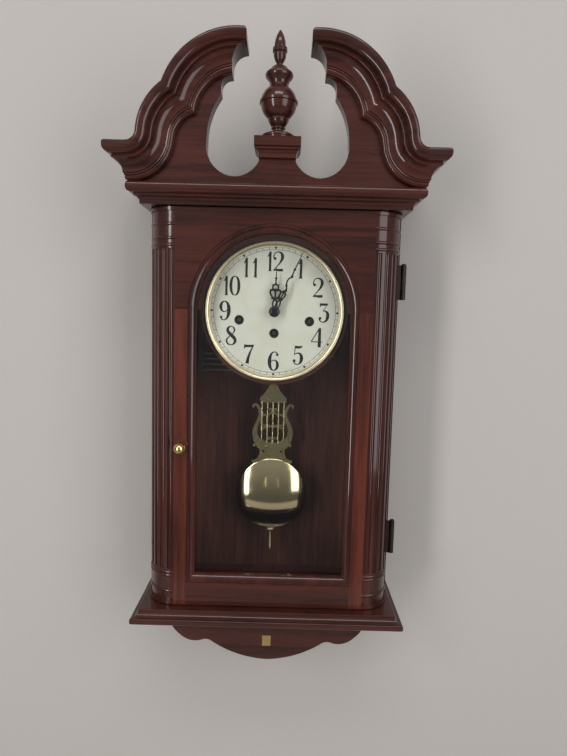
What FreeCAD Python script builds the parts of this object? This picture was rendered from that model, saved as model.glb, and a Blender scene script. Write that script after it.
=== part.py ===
import FreeCAD, Part
import math
import os
import Sketcher

Vector = FreeCAD.Vector

# Driving sizes in millimetres and counts. Heights (rise, drop) are measured from the dial centre, depths
# from the wall towards the room, and "half" is measured from the centre line.
SIZES = {
    "hanger_rise": 96.0, "hanger_hole": 11.0, "hanger_slot": 5.6, "hanger_slot_length": 20.0,
    "hanger_width": 26.0, "hanger_height": 58.0, "hanger_plate": 2.0, "hanger_cavity": 6.5,
    "hanger_lip": 5.0,
    "case_half": 162.0, "case_depth": 100.0, "side_thickness": 12.0, "back_thickness": 9.0,
    "base_drop": 389.5, "base_thickness": 17.5, "base_front": 152.5, "base_half": 167.0,
    "base_overhang": 9.5, "base_fillet": 2.0, "base_lip": 8.5, "base_lip_round": 3.5,
    "cornice_rise": 126.5, "cornice_height": 25.0, "cornice_overhang": 19.0, "cornice_lip": 13.0,
    "cornice_step": 11.0, "cornice_foot": 5.0, "cornice_base_band": 3.0, "cornice_lip_round": 5.5,
    "board_half": 174.0, "board_front": 145.0, "board_thickness": 18.0, "board_margin": 7.0,
    "neck_protrusion": 30.0, "neck_width": 42.0, "neck_back": 12.0, "neck_quirk": 1.6,
    "neck_spare": 6.0,
    "neck_lip": 12.5, "neck_lip_round": 5.0, "neck_groove": 25.0, "neck_fillet_drop": 18.0,
    "neck_fillet_step": 20.0, "neck_cove_drop": 32.5, "neck_cove_step": 7.5, "neck_bead": 5.0,
    "lobe_half": 47.5, "lobe_rise": 228.2, "lobe_radius": 93.5,
    "shoulder_half": 91.0, "shoulder_rise": 199.5, "shoulder_radius": 75.0, "shoulder_fillet": 12.0,
    "inner_half": 37.5, "inner_lip_drop": 14.0, "ogee_step": 18.0, "ogee_drop": 18.0, "ogee_fall": 11.5,
    "ogee_lower_step": 13.5, "ogee_lower_drop": 11.0, "neck_end_fall": 10.0, "neck_end_round": 4.0,
    "keyhole_half": 86.0, "keyhole_rise": 203.0, "keyhole_bottom": 161.5, "keyhole_centre": 54.0,
    "keyhole_upper_radius": 92.0, "post_half": 22.0, "post_shoulder": 181.0, "post_rise": 183.0,
    "plinth_half": 28.0, "plinth_depth": 40.0, "plinth_height": 24.0, "plinth_foot": 22.5,
    "plinth_neck": 3.0, "plinth_cove": 6.5, "plinth_fillet": 2.0, "plinth_quirk": 1.4,
    "finial_height": 127.5, "finial_spigot": 8.0, "finial_spigot_length": 10.0, "finial_fit": 0.05,
    "finial_foot": 39.0, "foot_low": 1.5, "foot_high": 5.5, "foot_round": 2.6, "foot_cove": 13.0,
    "finial_stem": 12.7, "stem_low": 10.5, "stem_high": 12.5, "finial_thread": 16.0, "thread_low": 12.9,
    "thread_high": 14.9, "thread_round": 1.1, "finial_throat": 15.4, "throat_rise": 15.6,
    "throat_round": 14.0, "finial_collar": 24.0, "collar_low": 22.4, "collar_high": 24.8,
    "collar_round": 1.4, "finial_seat": 25.0, "seat_rise": 25.5, "finial_ball": 44.0, "ball_low": 42.0,
    "ball_high": 46.2, "finial_ring": 46.5, "ring_quirk": 0.8, "ball_edge": 43.6,
    "finial_shoulder": 24.6, "shoulder_low": 61.5, "finial_waist": 22.7, "waist_rise": 64.5,
    "shoulder_high": 68.0, "finial_cap": 30.0, "cap_low": 71.5, "cap_round": 4.8, "finial_crown": 28.4,
    "cap_high": 79.6, "finial_step": 23.0, "step_low": 80.8, "finial_dome": 12.4, "step_high": 86.4,
    "step_round": 8.5, "finial_neck": 7.0, "finial_neck_rise": 87.4, "neck_high": 89.2, "urn_round": 16.0,
    "finial_urn": 17.8, "urn_low": 101.5, "urn_foot": 15.0, "urn_rim_low": 102.4, "urn_rim_high": 106.8,
    "finial_bud": 13.7, "bud_low": 107.8, "bud_round": 30.0, "finial_point": 1.4,
    "apron_front": 127.0, "apron_thickness": 12.0, "apron_half": 131.0, "apron_fall": 63.0,
    "plaque_width": 11.5, "plaque_height": 14.5, "plaque_thickness": 0.8, "plaque_fall": 36.0,
    "door_gap": 2.6, "door_clearance": 1.0, "column_radius": 37.4, "frame_thickness": 24.0,
    "sight_radius": 97.5, "rail_height": 31.0, "sight_width": 10.0, "sight_depth": 11.0,
    "sight_setback": 1.0, "sight_lip": 3.0,
    "glass_thickness": 3.0, "glass_margin": 0.4, "glass_bead": 6.0, "glass_bead_depth": 5.0,
    "shaft_radius": 34.8, "drum_radius": 35.0, "flute_radius": 3.3, "flute_fall": 50.0,
    "flute_lift": 47.5, "ring_height": 4.2, "base_ring": 15.5, "shaft_margin": 2.0,
    "capital_ring": 22.5,
    "knob_half": 115.5, "knob_drop": 176.0, "knob_diameter": 15.0, "knob_length": 17.0,
    "knob_stem": 6.0, "knob_plate": 11.0, "knob_flange": 1.5,
    "hinge_height": 45.0, "hinge_fall": 83.5, "hinge_lift": 86.0, "hinge_offset": 5.6,
    "hinge_knuckle": 3.6, "hinge_leaf": 1.2, "hinge_pin": 1.6, "hinge_leaf_reach": 13.0,
    "hinge_slack": 0.3, "pin_clearance": 0.05, "pin_head": 2.6, "pin_head_height": 1.6,
    "catch_drop": 176.0, "catch_width": 14.0, "catch_height": 34.0, "catch_depth": 16.0,
    "dial_board": 6.0, "dial_setback": 1.0, "surround_radius": 97.0,
    "dial_thickness": 1.0, "dial_radius": 90.0, "bezel_radius": 92.0, "bezel_inner": 85.5,
    "bezel_height": 5.0, "bezel_rebate": 1.3,
    "winding_half": 46.5, "winding_drop": 11.8, "strike_drop": 28.4, "winding_hole": 6.0,
    "centre_hole": 5.2,
    "grommet_flange": 7.2, "grommet_bore": 4.6, "grommet_height": 1.2,
    "movement_gap": 9.0, "plate_thickness": 2.0, "plate_spacing": 32.0, "plate_half": 70.0,
    "plate_rise": 62.0, "plate_drop": 58.0, "pillar_radius": 4.0, "pillar_inset": 8.0,
    "centre_arbor": 1.6, "cannon_radius": 2.6, "pipe_radius": 3.8, "running_clearance": 0.05,
    "motion_module": 0.8, "cannon_teeth": 12, "minute_teeth": 36, "minute_leaves": 10, "hour_teeth": 40,
    "wheel_thickness": 1.5, "wheel_lift": 1.5, "wheel_stack": 3.0, "stud_radius": 1.5,
    "hour_hand_length": 58.0, "minute_hand_length": 85.0, "hand_thickness": 0.8,
    "hour_hand_depth": 107.0,
    "hand_gap": 2.6, "hand_hub": 6.2, "hand_stem": 1.3, "hand_rim": 1.7, "nut_radius": 6.8,
    "nut_height": 3.0,
    "hour_lobe": 30.0, "minute_lobe": 40.0, "hour_hand_width": 9.5, "minute_hand_width": 8.0,
    "arbor_radius": 3.0, "arbor_square": 4.6, "arbor_end": 99.4, "ratchet_radius": 8.5,
    "ratchet_teeth": 18, "ratchet_tooth": 1.6, "ratchet_thickness": 1.6, "ratchet_gap": 0.3,
    "square_length": 13.0,
    "barrel_radius": 21.5, "barrel_length": 24.0,
    "suspension_rise": 52.0, "escape_drop": 25.0, "escape_radius": 13.5, "escape_teeth": 30,
    "escape_tooth": 2.2,
    "escape_thickness": 1.2, "escape_setback": 5.0, "anchor_half": 10.5, "anchor_arbor": 1.5,
    "anchor_thickness": 3.0, "pallet_gap": 1.2, "crutch_length": 58.0, "crutch_width": 4.0,
    "crutch_thickness": 1.4, "crutch_offset": 3.0, "crutch_pin": 1.0,
    "pendulum_depth": 36.0, "leader_width": 7.0, "leader_thickness": 1.6, "suspension_pin": 1.5,
    "bracket_width": 16.0, "bracket_rise": 5.0, "bracket_sheet": 2.0,
    "lyre_top": 105.0, "lyre_thickness": 2.0, "lyre_half": 29.5, "lyre_string": 0.9,
    "lyre_string_pitch": 8.0, "lyre_band": 5.0, "lyre_tip": 134.0,
    "lyre_waist": 18.0, "lyre_foot": 28.0, "lyre_bottom": 222.0,
    "lyre_plate_bottom": 130.5, "lyre_bowl": 192.0, "lyre_bar": 147.5, "lyre_lower_bar": 166.0,
    "bob_diameter": 104.0, "bob_drop": 265.0, "bob_dome": 11.0, "bob_rim": 2.0,
    "rod_radius": 1.3, "nut_size": 11.0, "nut_thickness": 6.0, "rod_drop": 350.0,
    "rod_clearance": 0.2,
    "chime_block_half": 128.0, "chime_block_width": 24.0, "chime_block_depth": 19.0,
    "chime_drop": 62.0, "chime_pitch": 8.0, "chime_rod": 1.4, "chime_rod_length": 190.0,
    "chime_rod_step": 14.0, "chime_depth": 20.0, "chime_margin": 7.0,
    "hammer_half": 56.0, "hammer_pitch": 9.0, "hammer_axis_drop": 40.0, "hammer_axis_depth": 40.0,
    "hammer_arm": 1.2, "hammer_head": 3.6, "hammer_head_length": 9.0, "hammer_gap": 1.2,
    "hammer_arbor": 1.5, "hammer_hub": 3.0, "hammer_cheek": 2.0, "hammer_side_gap": 0.3,
}
HAMMERS = 4
FLUTES = 5
STRINGS = 5

# How full the curves are, as shares of the sizes that they join
OGEE_ROUND = 0.52
KEYHOLE_OUTER_ROUND = 0.56
KEYHOLE_INNER_ROUND = 0.53
NECK_FOOT_ROUND = 0.6
NECK_COVE_ROUND = 1.15
CUSP_OVERCUT = 0.6
SIGHT_COVE_ROUND = 0.8
SIGHT_BACK_STEP = 0.55
RING_BULGE = 0.51
HAND_LOBE_ROUND = 0.8

# Wheel teeth: heights in modules, and half widths as shares of the pitch at the root, pitch line and tip
TOOTH_ROOT = 1.15
TOOTH_TOP = 0.8
TOOTH_SHARES = (0.31, 0.205, 0.09)

doc = FreeCAD.newDocument("wall_clock")
sheet = doc.addObject("Spreadsheet::Sheet", "sizes")
for row, (alias, number) in enumerate(SIZES.items(), 1):
    sheet.set("A%d" % row, alias)
    sheet.set("B%d" % row, str(number))
    sheet.setAlias("B%d" % row, alias)
doc.recompute()


class Size:
    """A length with the sheet expression that it comes from, so that arithmetic keeps both in step."""

    def __init__(self, value, text):
        self.value = float(value)
        self.text = text

    @staticmethod
    def of(thing):
        return thing if isinstance(thing, Size) else Size(thing, "(%r)" % float(thing))

    def __add__(self, other):
        other = Size.of(other)
        return Size(self.value + other.value, "(%s + %s)" % (self.text, other.text))

    def __sub__(self, other):
        other = Size.of(other)
        return Size(self.value - other.value, "(%s - %s)" % (self.text, other.text))

    def __mul__(self, other):
        other = Size.of(other)
        return Size(self.value * other.value, "(%s * %s)" % (self.text, other.text))

    def __truediv__(self, other):
        other = Size.of(other)
        return Size(self.value / other.value, "(%s / %s)" % (self.text, other.text))

    def __radd__(self, other):
        return Size.of(other) + self

    def __rsub__(self, other):
        return Size.of(other) - self

    def __rmul__(self, other):
        return Size.of(other) * self

    def __neg__(self):
        return Size(-self.value, "(-1 * %s)" % self.text)

    def root(self):
        return Size(math.sqrt(self.value), "sqrt(%s)" % self.text)

    def bearing(self, rise):
        """Degrees from straight up, for a point this far across and that far up."""
        rise = Size.of(rise)
        angle = math.degrees(math.atan2(self.value, rise.value))
        return Size(angle, "(atan2(%s; %s) / 1 deg)" % (self.text, rise.text))


class Sizes:
    """Gives each cell of the sheet as an attribute."""

    def __getattr__(self, alias):
        return Size(float(sheet.get(alias)), "sizes.%s" % alias)


s = Sizes()


class Arc:
    """Marks the edge to the next corner as an arc of this radius; a negative radius turns clockwise."""

    def __init__(self, radius):
        self.radius = Size.of(radius)


class Ring:
    """A full circle in a sketch."""

    def __init__(self, x, y, radius):
        self.x = Size.of(x)
        self.y = Size.of(y)
        self.radius = Size.of(radius)


def arc_geometry(start, end, radius):
    chord = end - start
    turn = 1.0 if radius > 0 else -1.0
    reach = math.sqrt(max(radius * radius - chord.Length ** 2 / 4.0, 0.0))
    normal = Vector(-chord.y, chord.x, 0).normalize()
    centre = (start + end) * 0.5 + normal * (turn * reach)
    first, last = (start, end) if turn > 0 else (end, start)
    angles = [math.atan2(point.y - centre.y, point.x - centre.x) for point in (first, last)]
    if angles[1] < angles[0]:
        angles[1] += 2 * math.pi
    return Part.ArcOfCircle(Part.Circle(centre, Vector(0, 0, 1), abs(radius)), *angles)


def fix_point(sketch, geometry, position, x, y):
    for kind, size in (("DistanceX", x), ("DistanceY", y)):
        index = sketch.addConstraint(Sketcher.Constraint(kind, -1, 1, geometry, position, size.value))
        sketch.setExpression("Constraints[%d]" % index, size.text)


def fix_radius(sketch, geometry, radius):
    index = sketch.addConstraint(Sketcher.Constraint("Radius", geometry, abs(radius.value)))
    text = radius.text if radius.value > 0 else "(-1 * %s)" % radius.text
    sketch.setExpression("Constraints[%d]" % index, text)


def draw(sketch, loop, closed=True):
    """Draws one outline of corners and arcs, with every corner tied to the sheet."""
    if isinstance(loop, Ring):
        centre = Vector(loop.x.value, loop.y.value, 0)
        edge = sketch.addGeometry(Part.Circle(centre, Vector(0, 0, 1), loop.radius.value))
        fix_radius(sketch, edge, loop.radius)
        fix_point(sketch, edge, 3, loop.x, loop.y)
        return
    corners = []
    bends = {}
    for item in loop:
        if isinstance(item, Arc):
            bends[len(corners) - 1] = item.radius
        else:
            corners.append((Size.of(item[0]), Size.of(item[1])))
    points = [Vector(x.value, y.value, 0) for x, y in corners]
    count = len(corners) if closed else len(corners) - 1
    ends = []
    for index in range(count):
        start, end = points[index], points[(index + 1) % len(points)]
        if index in bends:
            edge = sketch.addGeometry(arc_geometry(start, end, bends[index].value))
            ends.append((edge, 1, 2) if bends[index].value > 0 else (edge, 2, 1))
        else:
            ends.append((sketch.addGeometry(Part.LineSegment(start, end)), 1, 2))
    for index in range(count if closed else count - 1):
        here, after = ends[index], ends[(index + 1) % count]
        sketch.addConstraint(Sketcher.Constraint("Coincident", here[0], here[2], after[0], after[1]))
    for index, (edge, first, last) in enumerate(ends):
        fix_point(sketch, edge, first, *corners[index])
        if index in bends:
            fix_radius(sketch, edge, bends[index])
    if not closed:
        fix_point(sketch, ends[-1][0], ends[-1][2], *corners[-1])


def place(thing, x=0, depth=0, rise=0):
    """Puts a local origin at a half-width, a depth from the wall and a height from the dial centre."""
    for axis, size in (("x", Size.of(x)), ("y", -Size.of(depth)), ("z", Size.of(rise) - s.hanger_rise)):
        thing.setExpression("Placement.Base." + axis, size.text)


def body(label, x=0, depth=0, rise=0):
    made = doc.addObject("PartDesign::Body", label)
    made.Label = label
    place(made, x, depth, rise)
    return made


def sketch_on(owner, role, loops, offset=0):
    plane = next(item for item in owner.Origin.OriginFeatures if item.Role == role)
    sketch = owner.newObject("Sketcher::SketchObject", owner.Label + "_sketch")
    sketch.AttachmentSupport = [(plane, "")]
    sketch.MapMode = "FlatFace"
    sketch.setExpression("AttachmentOffset.Base.z", Size.of(offset).text)
    for loop in loops:
        draw(sketch, loop)
    return sketch


def pad(owner, role, loops, length, offset=0, symmetric=False):
    feature = owner.newObject("PartDesign::Pad", owner.Label + "_pad")
    feature.Profile = sketch_on(owner, role, loops, offset)
    feature.SideType = "Symmetric" if symmetric else "One side"
    feature.setExpression("Length", Size.of(length).text)
    doc.recompute()
    return feature


def pocket(owner, role, loops, length, offset=0, reverse=False, symmetric=False):
    before = owner.Tip.Shape.Volume
    feature = owner.newObject("PartDesign::Pocket", owner.Label + "_pocket")
    feature.Profile = sketch_on(owner, role, loops, offset)
    feature.SideType = "Symmetric" if symmetric else "One side"
    feature.Reversed = reverse
    feature.setExpression("Length", Size.of(length).text)
    doc.recompute()
    if not feature.Shape.Volume < before:
        raise RuntimeError("%s cuts nothing" % feature.Name)
    return feature


def turned(owner, role, loop, axis, angle=360, reverse=False):
    feature = owner.newObject("PartDesign::Revolution", owner.Label + "_turning")
    sketch = sketch_on(owner, role, [loop])
    feature.Profile = sketch
    feature.ReferenceAxis = (sketch, [axis])
    feature.Angle = angle
    feature.Reversed = reverse
    doc.recompute()
    return feature


def plate(label, loops, thickness, depth=0, x=0, rise=0):
    """A flat piece cut from sheet or board, standing parallel to the wall."""
    made = body(label, x, depth, rise)
    pad(made, "XZ_Plane", loops, thickness)
    return made


def box(label, x, depth, rise, width, thickness, height):
    """A plain board given by its left edge, its wall side and its underside."""
    made = doc.addObject("Part::Box", label)
    made.Label = label
    for name, size in (("Length", width), ("Width", thickness), ("Height", height)):
        made.setExpression(name, Size.of(size).text)
    place(made, x, Size.of(depth) + thickness, rise)
    return made


def rectangle(half, bottom, top):
    return [(-half, bottom), (half, bottom), (half, top), (-half, top)]


def mirrored(outline):
    """Closes a right-hand outline, given from bottom to top, with its left-hand mirror image."""
    left = []
    for item in reversed(outline):
        left.append(Arc(item.radius) if isinstance(item, Arc) else (-Size.of(item[0]), item[1]))
    return list(outline) + left


def flipped(outline):
    """The same outline on the other side of the centre line."""
    return [Arc(-item.radius) if isinstance(item, Arc) else (-Size.of(item[0]), item[1]) for item in outline]


def free_sketch(name, rotation, loop, closed, x=0, depth=0, rise=0):
    sketch = doc.addObject("Sketcher::SketchObject", name)
    sketch.Placement = FreeCAD.Placement(Vector(), rotation)
    place(sketch, x, depth, rise)
    draw(sketch, loop, closed)
    return sketch


FACING_ROOM = FreeCAD.Rotation(Vector(1, 0, 0), 90)
FACING_SIDE = FreeCAD.Rotation(Vector(0, -1, 0), Vector(0, 0, 1), Vector(-1, 0, 0))
FACING_DOWN = FreeCAD.Rotation(Vector(0, -1, 0), Vector(-1, 0, 0), Vector(0, 0, -1))
FACING_UP = FreeCAD.Rotation()


def sweep(label, section, spine):
    """A moulding run along a flat path, with square mitres where the path turns a corner."""
    right_corner = 1
    doc.recompute()
    run = Part.BRepOffsetAPI.MakePipeShell(spine.Shape.Wires[0])
    run.setTransitionMode(right_corner)
    run.setBiNormalMode(spine.Placement.Rotation.multVec(Vector(0, 0, 1)))
    run.add(section.Shape.Wires[0], False, False)
    run.build()
    run.makeSolid()
    made = doc.addObject("Part::Feature", label)
    made.Label = label
    made.Shape = run.shape()
    return made


def bent(label, section, x, rise, angle, way):
    """A moulding carried round a point of the front: way is 1 clockwise as seen from the room, or -1."""
    made = doc.addObject("Part::Revolution", label)
    made.Source = section
    made.Axis = Vector(0, way, 0)
    made.Solid = True
    made.setExpression("Base.x", Size.of(x).text)
    made.setExpression("Base.z", (rise - s.hanger_rise).text)
    made.setExpression("Angle", angle.text)
    return made


def straight(label, section, length):
    """A straight length of moulding, to the right of its section."""
    made = doc.addObject("Part::Extrusion", label)
    made.Base = section
    made.DirMode = "Custom"
    made.Dir = Vector(1, 0, 0)
    made.Solid = True
    made.setExpression("LengthFwd", length.text)
    return made


def combined(kind, label, base, tool):
    made = doc.addObject("Part::" + kind, label)
    made.Label = label
    made.Base = base
    made.Tool = tool
    doc.recompute()
    return made


def fused(label, pieces):
    made = doc.addObject("Part::MultiFuse", label)
    made.Label = label
    made.Shapes = pieces
    doc.recompute()
    return made


def group(label, pieces):
    """Equal pieces that share one node as separate solids."""
    made = doc.addObject("Part::Compound", label)
    made.Label = label
    made.Links = pieces
    doc.recompute()
    return made


def mirror_image(label, source):
    made = doc.addObject("Part::Mirroring", label)
    made.Label = label
    made.Source = source
    made.Normal = Vector(1, 0, 0)
    doc.recompute()
    return made


NODES = []


def node(made):
    NODES.append(made)
    return made


# Shared levels
inside_half = s.case_half - s.side_thickness
door_back = s.case_depth + s.door_gap
door_front = door_back + s.column_radius
door_top = s.cornice_rise - s.door_clearance
door_bottom = s.door_clearance - s.base_drop
cornice_top = s.cornice_rise + s.cornice_height
dial_face = s.case_depth - s.dial_setback
dial_board_back = dial_face - s.dial_board
front_plate_back = dial_board_back - s.movement_gap - s.plate_thickness
back_plate_front = front_plate_back - s.plate_spacing
back_plate_back = back_plate_front - s.plate_thickness


# Case carcass
def make_carcass():
    height = s.cornice_rise + s.base_drop
    node(box("left_side", -s.case_half, 0, -s.base_drop, s.side_thickness, s.case_depth, height))
    node(box("right_side", inside_half, 0, -s.base_drop, s.side_thickness, s.case_depth, height))
    node(box("top_board", -s.case_half, 0, s.cornice_rise, s.case_half * 2, door_front, s.cornice_height))
    back = body("back_panel")
    pad(back, "XZ_Plane", [rectangle(inside_half, -s.base_drop, s.cornice_rise)], s.back_thickness)
    half = s.hanger_width / 2
    seat = rectangle(half, s.hanger_rise - s.hanger_height / 2, s.hanger_rise + s.hanger_height / 2)
    pocket(back, "XZ_Plane", [seat], s.hanger_plate, reverse=True)
    inset = s.hanger_lip
    low = s.hanger_rise - s.hanger_height / 2 + inset
    high = s.hanger_rise + s.hanger_height / 2 - inset
    pocket(back, "XZ_Plane", [rectangle(half - inset, low, high)], s.hanger_cavity, reverse=True)
    node(back)


def make_hanger():
    """Keyhole plate let into the back: the screw head enters the round hole and rides up the slot."""
    hanger = body("wall_hanger", rise=s.hanger_rise)
    half = s.hanger_height / 2
    pad(hanger, "XZ_Plane", [rectangle(s.hanger_width / 2, -half, half)], s.hanger_plate)
    pocket(hanger, "XZ_Plane", [Ring(0, 0, s.hanger_hole / 2)], s.hanger_plate, reverse=True)
    slot = s.hanger_slot / 2
    end = s.hanger_slot_length - slot
    keyway = [(-slot, 0), (slot, 0), (slot, end), Arc(slot), (0, end + slot), Arc(slot), (-slot, end)]
    pocket(hanger, "XZ_Plane", [keyway], s.hanger_plate, reverse=True)
    node(hanger)


def make_base():
    """Base board with a moulded edge: small fillet, cove, and a rounded lip at the foot."""
    base = body("base_board", rise=-s.base_drop)
    lip_top = s.base_lip - s.base_thickness
    cove = s.base_thickness - s.base_lip - s.base_fillet
    outer = s.base_half + s.base_overhang
    right = [(outer - s.base_lip_round, -s.base_thickness), Arc(s.base_lip_round),
             (outer, s.base_lip_round - s.base_thickness), (outer, lip_top - s.base_lip_round / 2),
             Arc(s.base_lip_round / 2), (outer - s.base_lip_round / 2, lip_top),
             (s.base_half + cove, lip_top), Arc(-cove), (s.base_half, -s.base_fillet), (s.base_half, 0)]
    pad(base, "XZ_Plane", [mirrored(right)], s.base_front + s.base_overhang)
    front = s.base_front
    reach = front + s.base_overhang
    spare = s.base_overhang * 2
    waste_top = [(-front, s.base_fillet), (-front, -s.base_fillet), Arc(-cove),
                 (-front - cove, lip_top), (-reach + s.base_lip_round / 2, lip_top),
                 Arc(s.base_lip_round / 2), (-reach, lip_top - s.base_lip_round / 2),
                 (-reach - spare, lip_top - s.base_lip_round / 2), (-reach - spare, s.base_fillet)]
    pocket(base, "YZ_Plane", [waste_top], outer * 3, symmetric=True)
    foot = -s.base_thickness
    waste_foot = [(-reach, foot + s.base_lip_round), Arc(s.base_lip_round),
                  (-reach + s.base_lip_round, foot), (-reach + s.base_lip_round, foot - spare),
                  (-reach - spare, foot - spare), (-reach - spare, foot + s.base_lip_round)]
    pocket(base, "YZ_Plane", [waste_foot], outer * 3, symmetric=True)
    node(base)


def make_cornice():
    """Cornice moulding, mitred round the front and both sides of the top board."""
    p = s.cornice_overhang
    nose = s.cornice_lip_round
    lip = s.cornice_height - s.cornice_lip
    cove = s.cornice_step - s.cornice_foot
    section = [(0, 0), (-s.cornice_foot, 0), (-s.cornice_foot, s.cornice_base_band),
               Arc(cove), (-s.cornice_step, s.cornice_base_band + cove),
               (-s.cornice_step, lip), (nose - p, lip), Arc(-nose), (-p, lip + nose),
               (-p, s.cornice_height - nose), Arc(-nose), (nose - p, s.cornice_height),
               (0, s.cornice_height)]
    profile = free_sketch("cornice_section", FACING_ROOM, section, True,
                          x=-s.case_half, rise=s.cornice_rise)
    path = [(-s.case_half, 0), (-s.case_half, -door_front), (s.case_half, -door_front), (s.case_half, 0)]
    spine = free_sketch("cornice_path", FACING_UP, path, False, rise=s.cornice_rise)
    node(sweep("cornice", profile, spine))


# Pediment levels
flat_rise = cornice_top + s.neck_width
fillet_rise = flat_rise + s.shoulder_fillet
fillet_span = s.shoulder_radius + s.shoulder_fillet
fillet_lift = fillet_rise - s.shoulder_rise
fillet_half = s.shoulder_half + (fillet_span * fillet_span - fillet_lift * fillet_lift).root()


class Crest:
    """Right-hand swan-neck line, set in by a margin: two lobes that meet in a cusp, and a fillet."""

    def __init__(self, margin, inner_half):
        self.lobe = s.lobe_radius - margin
        self.shoulder = s.shoulder_radius - margin
        self.fillet = s.shoulder_fillet + margin
        across = s.shoulder_half - s.lobe_half
        fall = s.shoulder_rise - s.lobe_rise
        apart = (across * across + fall * fall).root()
        along = (self.lobe * self.lobe - self.shoulder * self.shoulder + apart * apart) / (apart * 2)
        aside = (self.lobe * self.lobe - along * along).root()
        self.cusp = (s.lobe_half + (along * across - aside * fall) / apart,
                     s.lobe_rise + (along * fall + aside * across) / apart)
        share = self.shoulder / fillet_span
        self.tangent = (s.shoulder_half + (fillet_half - s.shoulder_half) * share,
                        s.shoulder_rise + fillet_lift * share)
        shift = inner_half - s.lobe_half
        self.inner = (inner_half, s.lobe_rise + (self.lobe * self.lobe - shift * shift).root())


def ogee_end():
    """Right-hand sawn end of a swan neck, from the lip down to the board's edge."""
    top = s.lobe_rise + s.lobe_radius - s.inner_lip_drop
    first = (s.inner_half + s.ogee_step, top - s.ogee_drop)
    second = (first[0] + s.ogee_lower_step, first[1] - s.ogee_fall - s.ogee_lower_drop)
    return [(s.inner_half, top), Arc((s.ogee_step + s.ogee_drop) * -OGEE_ROUND), first,
            (first[0], first[1] - s.ogee_fall),
            Arc((s.ogee_lower_step + s.ogee_lower_drop) * -OGEE_ROUND), second,
            (second[0], second[1] - s.neck_end_fall)]


def make_pediment_board():
    """Board behind the swan necks, sawn with two keyhole openings and a post for the finial."""
    line = Crest(s.board_margin, s.inner_half)
    low_edge = flat_rise - s.board_margin
    far = s.board_half + fillet_half
    round_side = s.keyhole_half - s.post_half
    right = [(far, cornice_top), (far, low_edge), (fillet_half, low_edge), Arc(-line.fillet), line.tangent,
             Arc(line.shoulder), line.cusp, Arc(line.lobe), line.inner]
    right += ogee_end()
    right += [Arc(-s.keyhole_upper_radius), (s.keyhole_half, s.keyhole_rise),
              Arc(round_side * -KEYHOLE_OUTER_ROUND), (s.keyhole_centre, s.keyhole_bottom),
              Arc(round_side * -KEYHOLE_INNER_ROUND), (s.post_half, s.post_shoulder),
              (s.post_half, s.post_rise)]
    board = plate("pediment_board", [mirrored(right)], s.board_thickness, s.board_front - s.board_thickness)
    above = s.lobe_rise + s.lobe_radius
    offcut = [(s.board_half, cornice_top - s.neck_spare), (far + s.neck_spare, cornice_top - s.neck_spare),
              (far + s.neck_spare, above), (s.board_half, above)]
    pocket(board, "XZ_Plane", [offcut, flipped(offcut)], s.board_thickness, reverse=True)
    node(board)


def neck_section(back):
    """Swan-neck moulding as (protrusion, drop): lip, groove, fillet, great cove, and a bead at the foot."""
    p = s.neck_protrusion
    nose = s.neck_lip_round
    fillet = s.neck_fillet_step + s.neck_quirk
    foot = s.neck_width - s.neck_cove_drop - s.neck_quirk
    return [(-back, 0), (-back, -s.neck_width), (s.neck_bead, -s.neck_width), Arc(foot * NECK_FOOT_ROUND),
            (s.neck_bead, foot - s.neck_width), (s.neck_cove_step, -s.neck_cove_drop),
            Arc((s.neck_fillet_step - s.neck_cove_step) * -NECK_COVE_ROUND),
            (s.neck_fillet_step, -s.neck_fillet_drop), (fillet, -s.neck_fillet_drop),
            (fillet, s.neck_quirk - s.neck_fillet_drop), (s.neck_groove, -s.neck_lip), (p, -s.neck_lip),
            (p, -nose), Arc(nose), (p - nose, 0)]


def neck_waste(label, outline, span):
    waste = body(label, depth=s.board_front - s.neck_spare)
    pad(waste, "XZ_Plane", [flipped(outline)], span)
    return waste


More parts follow.
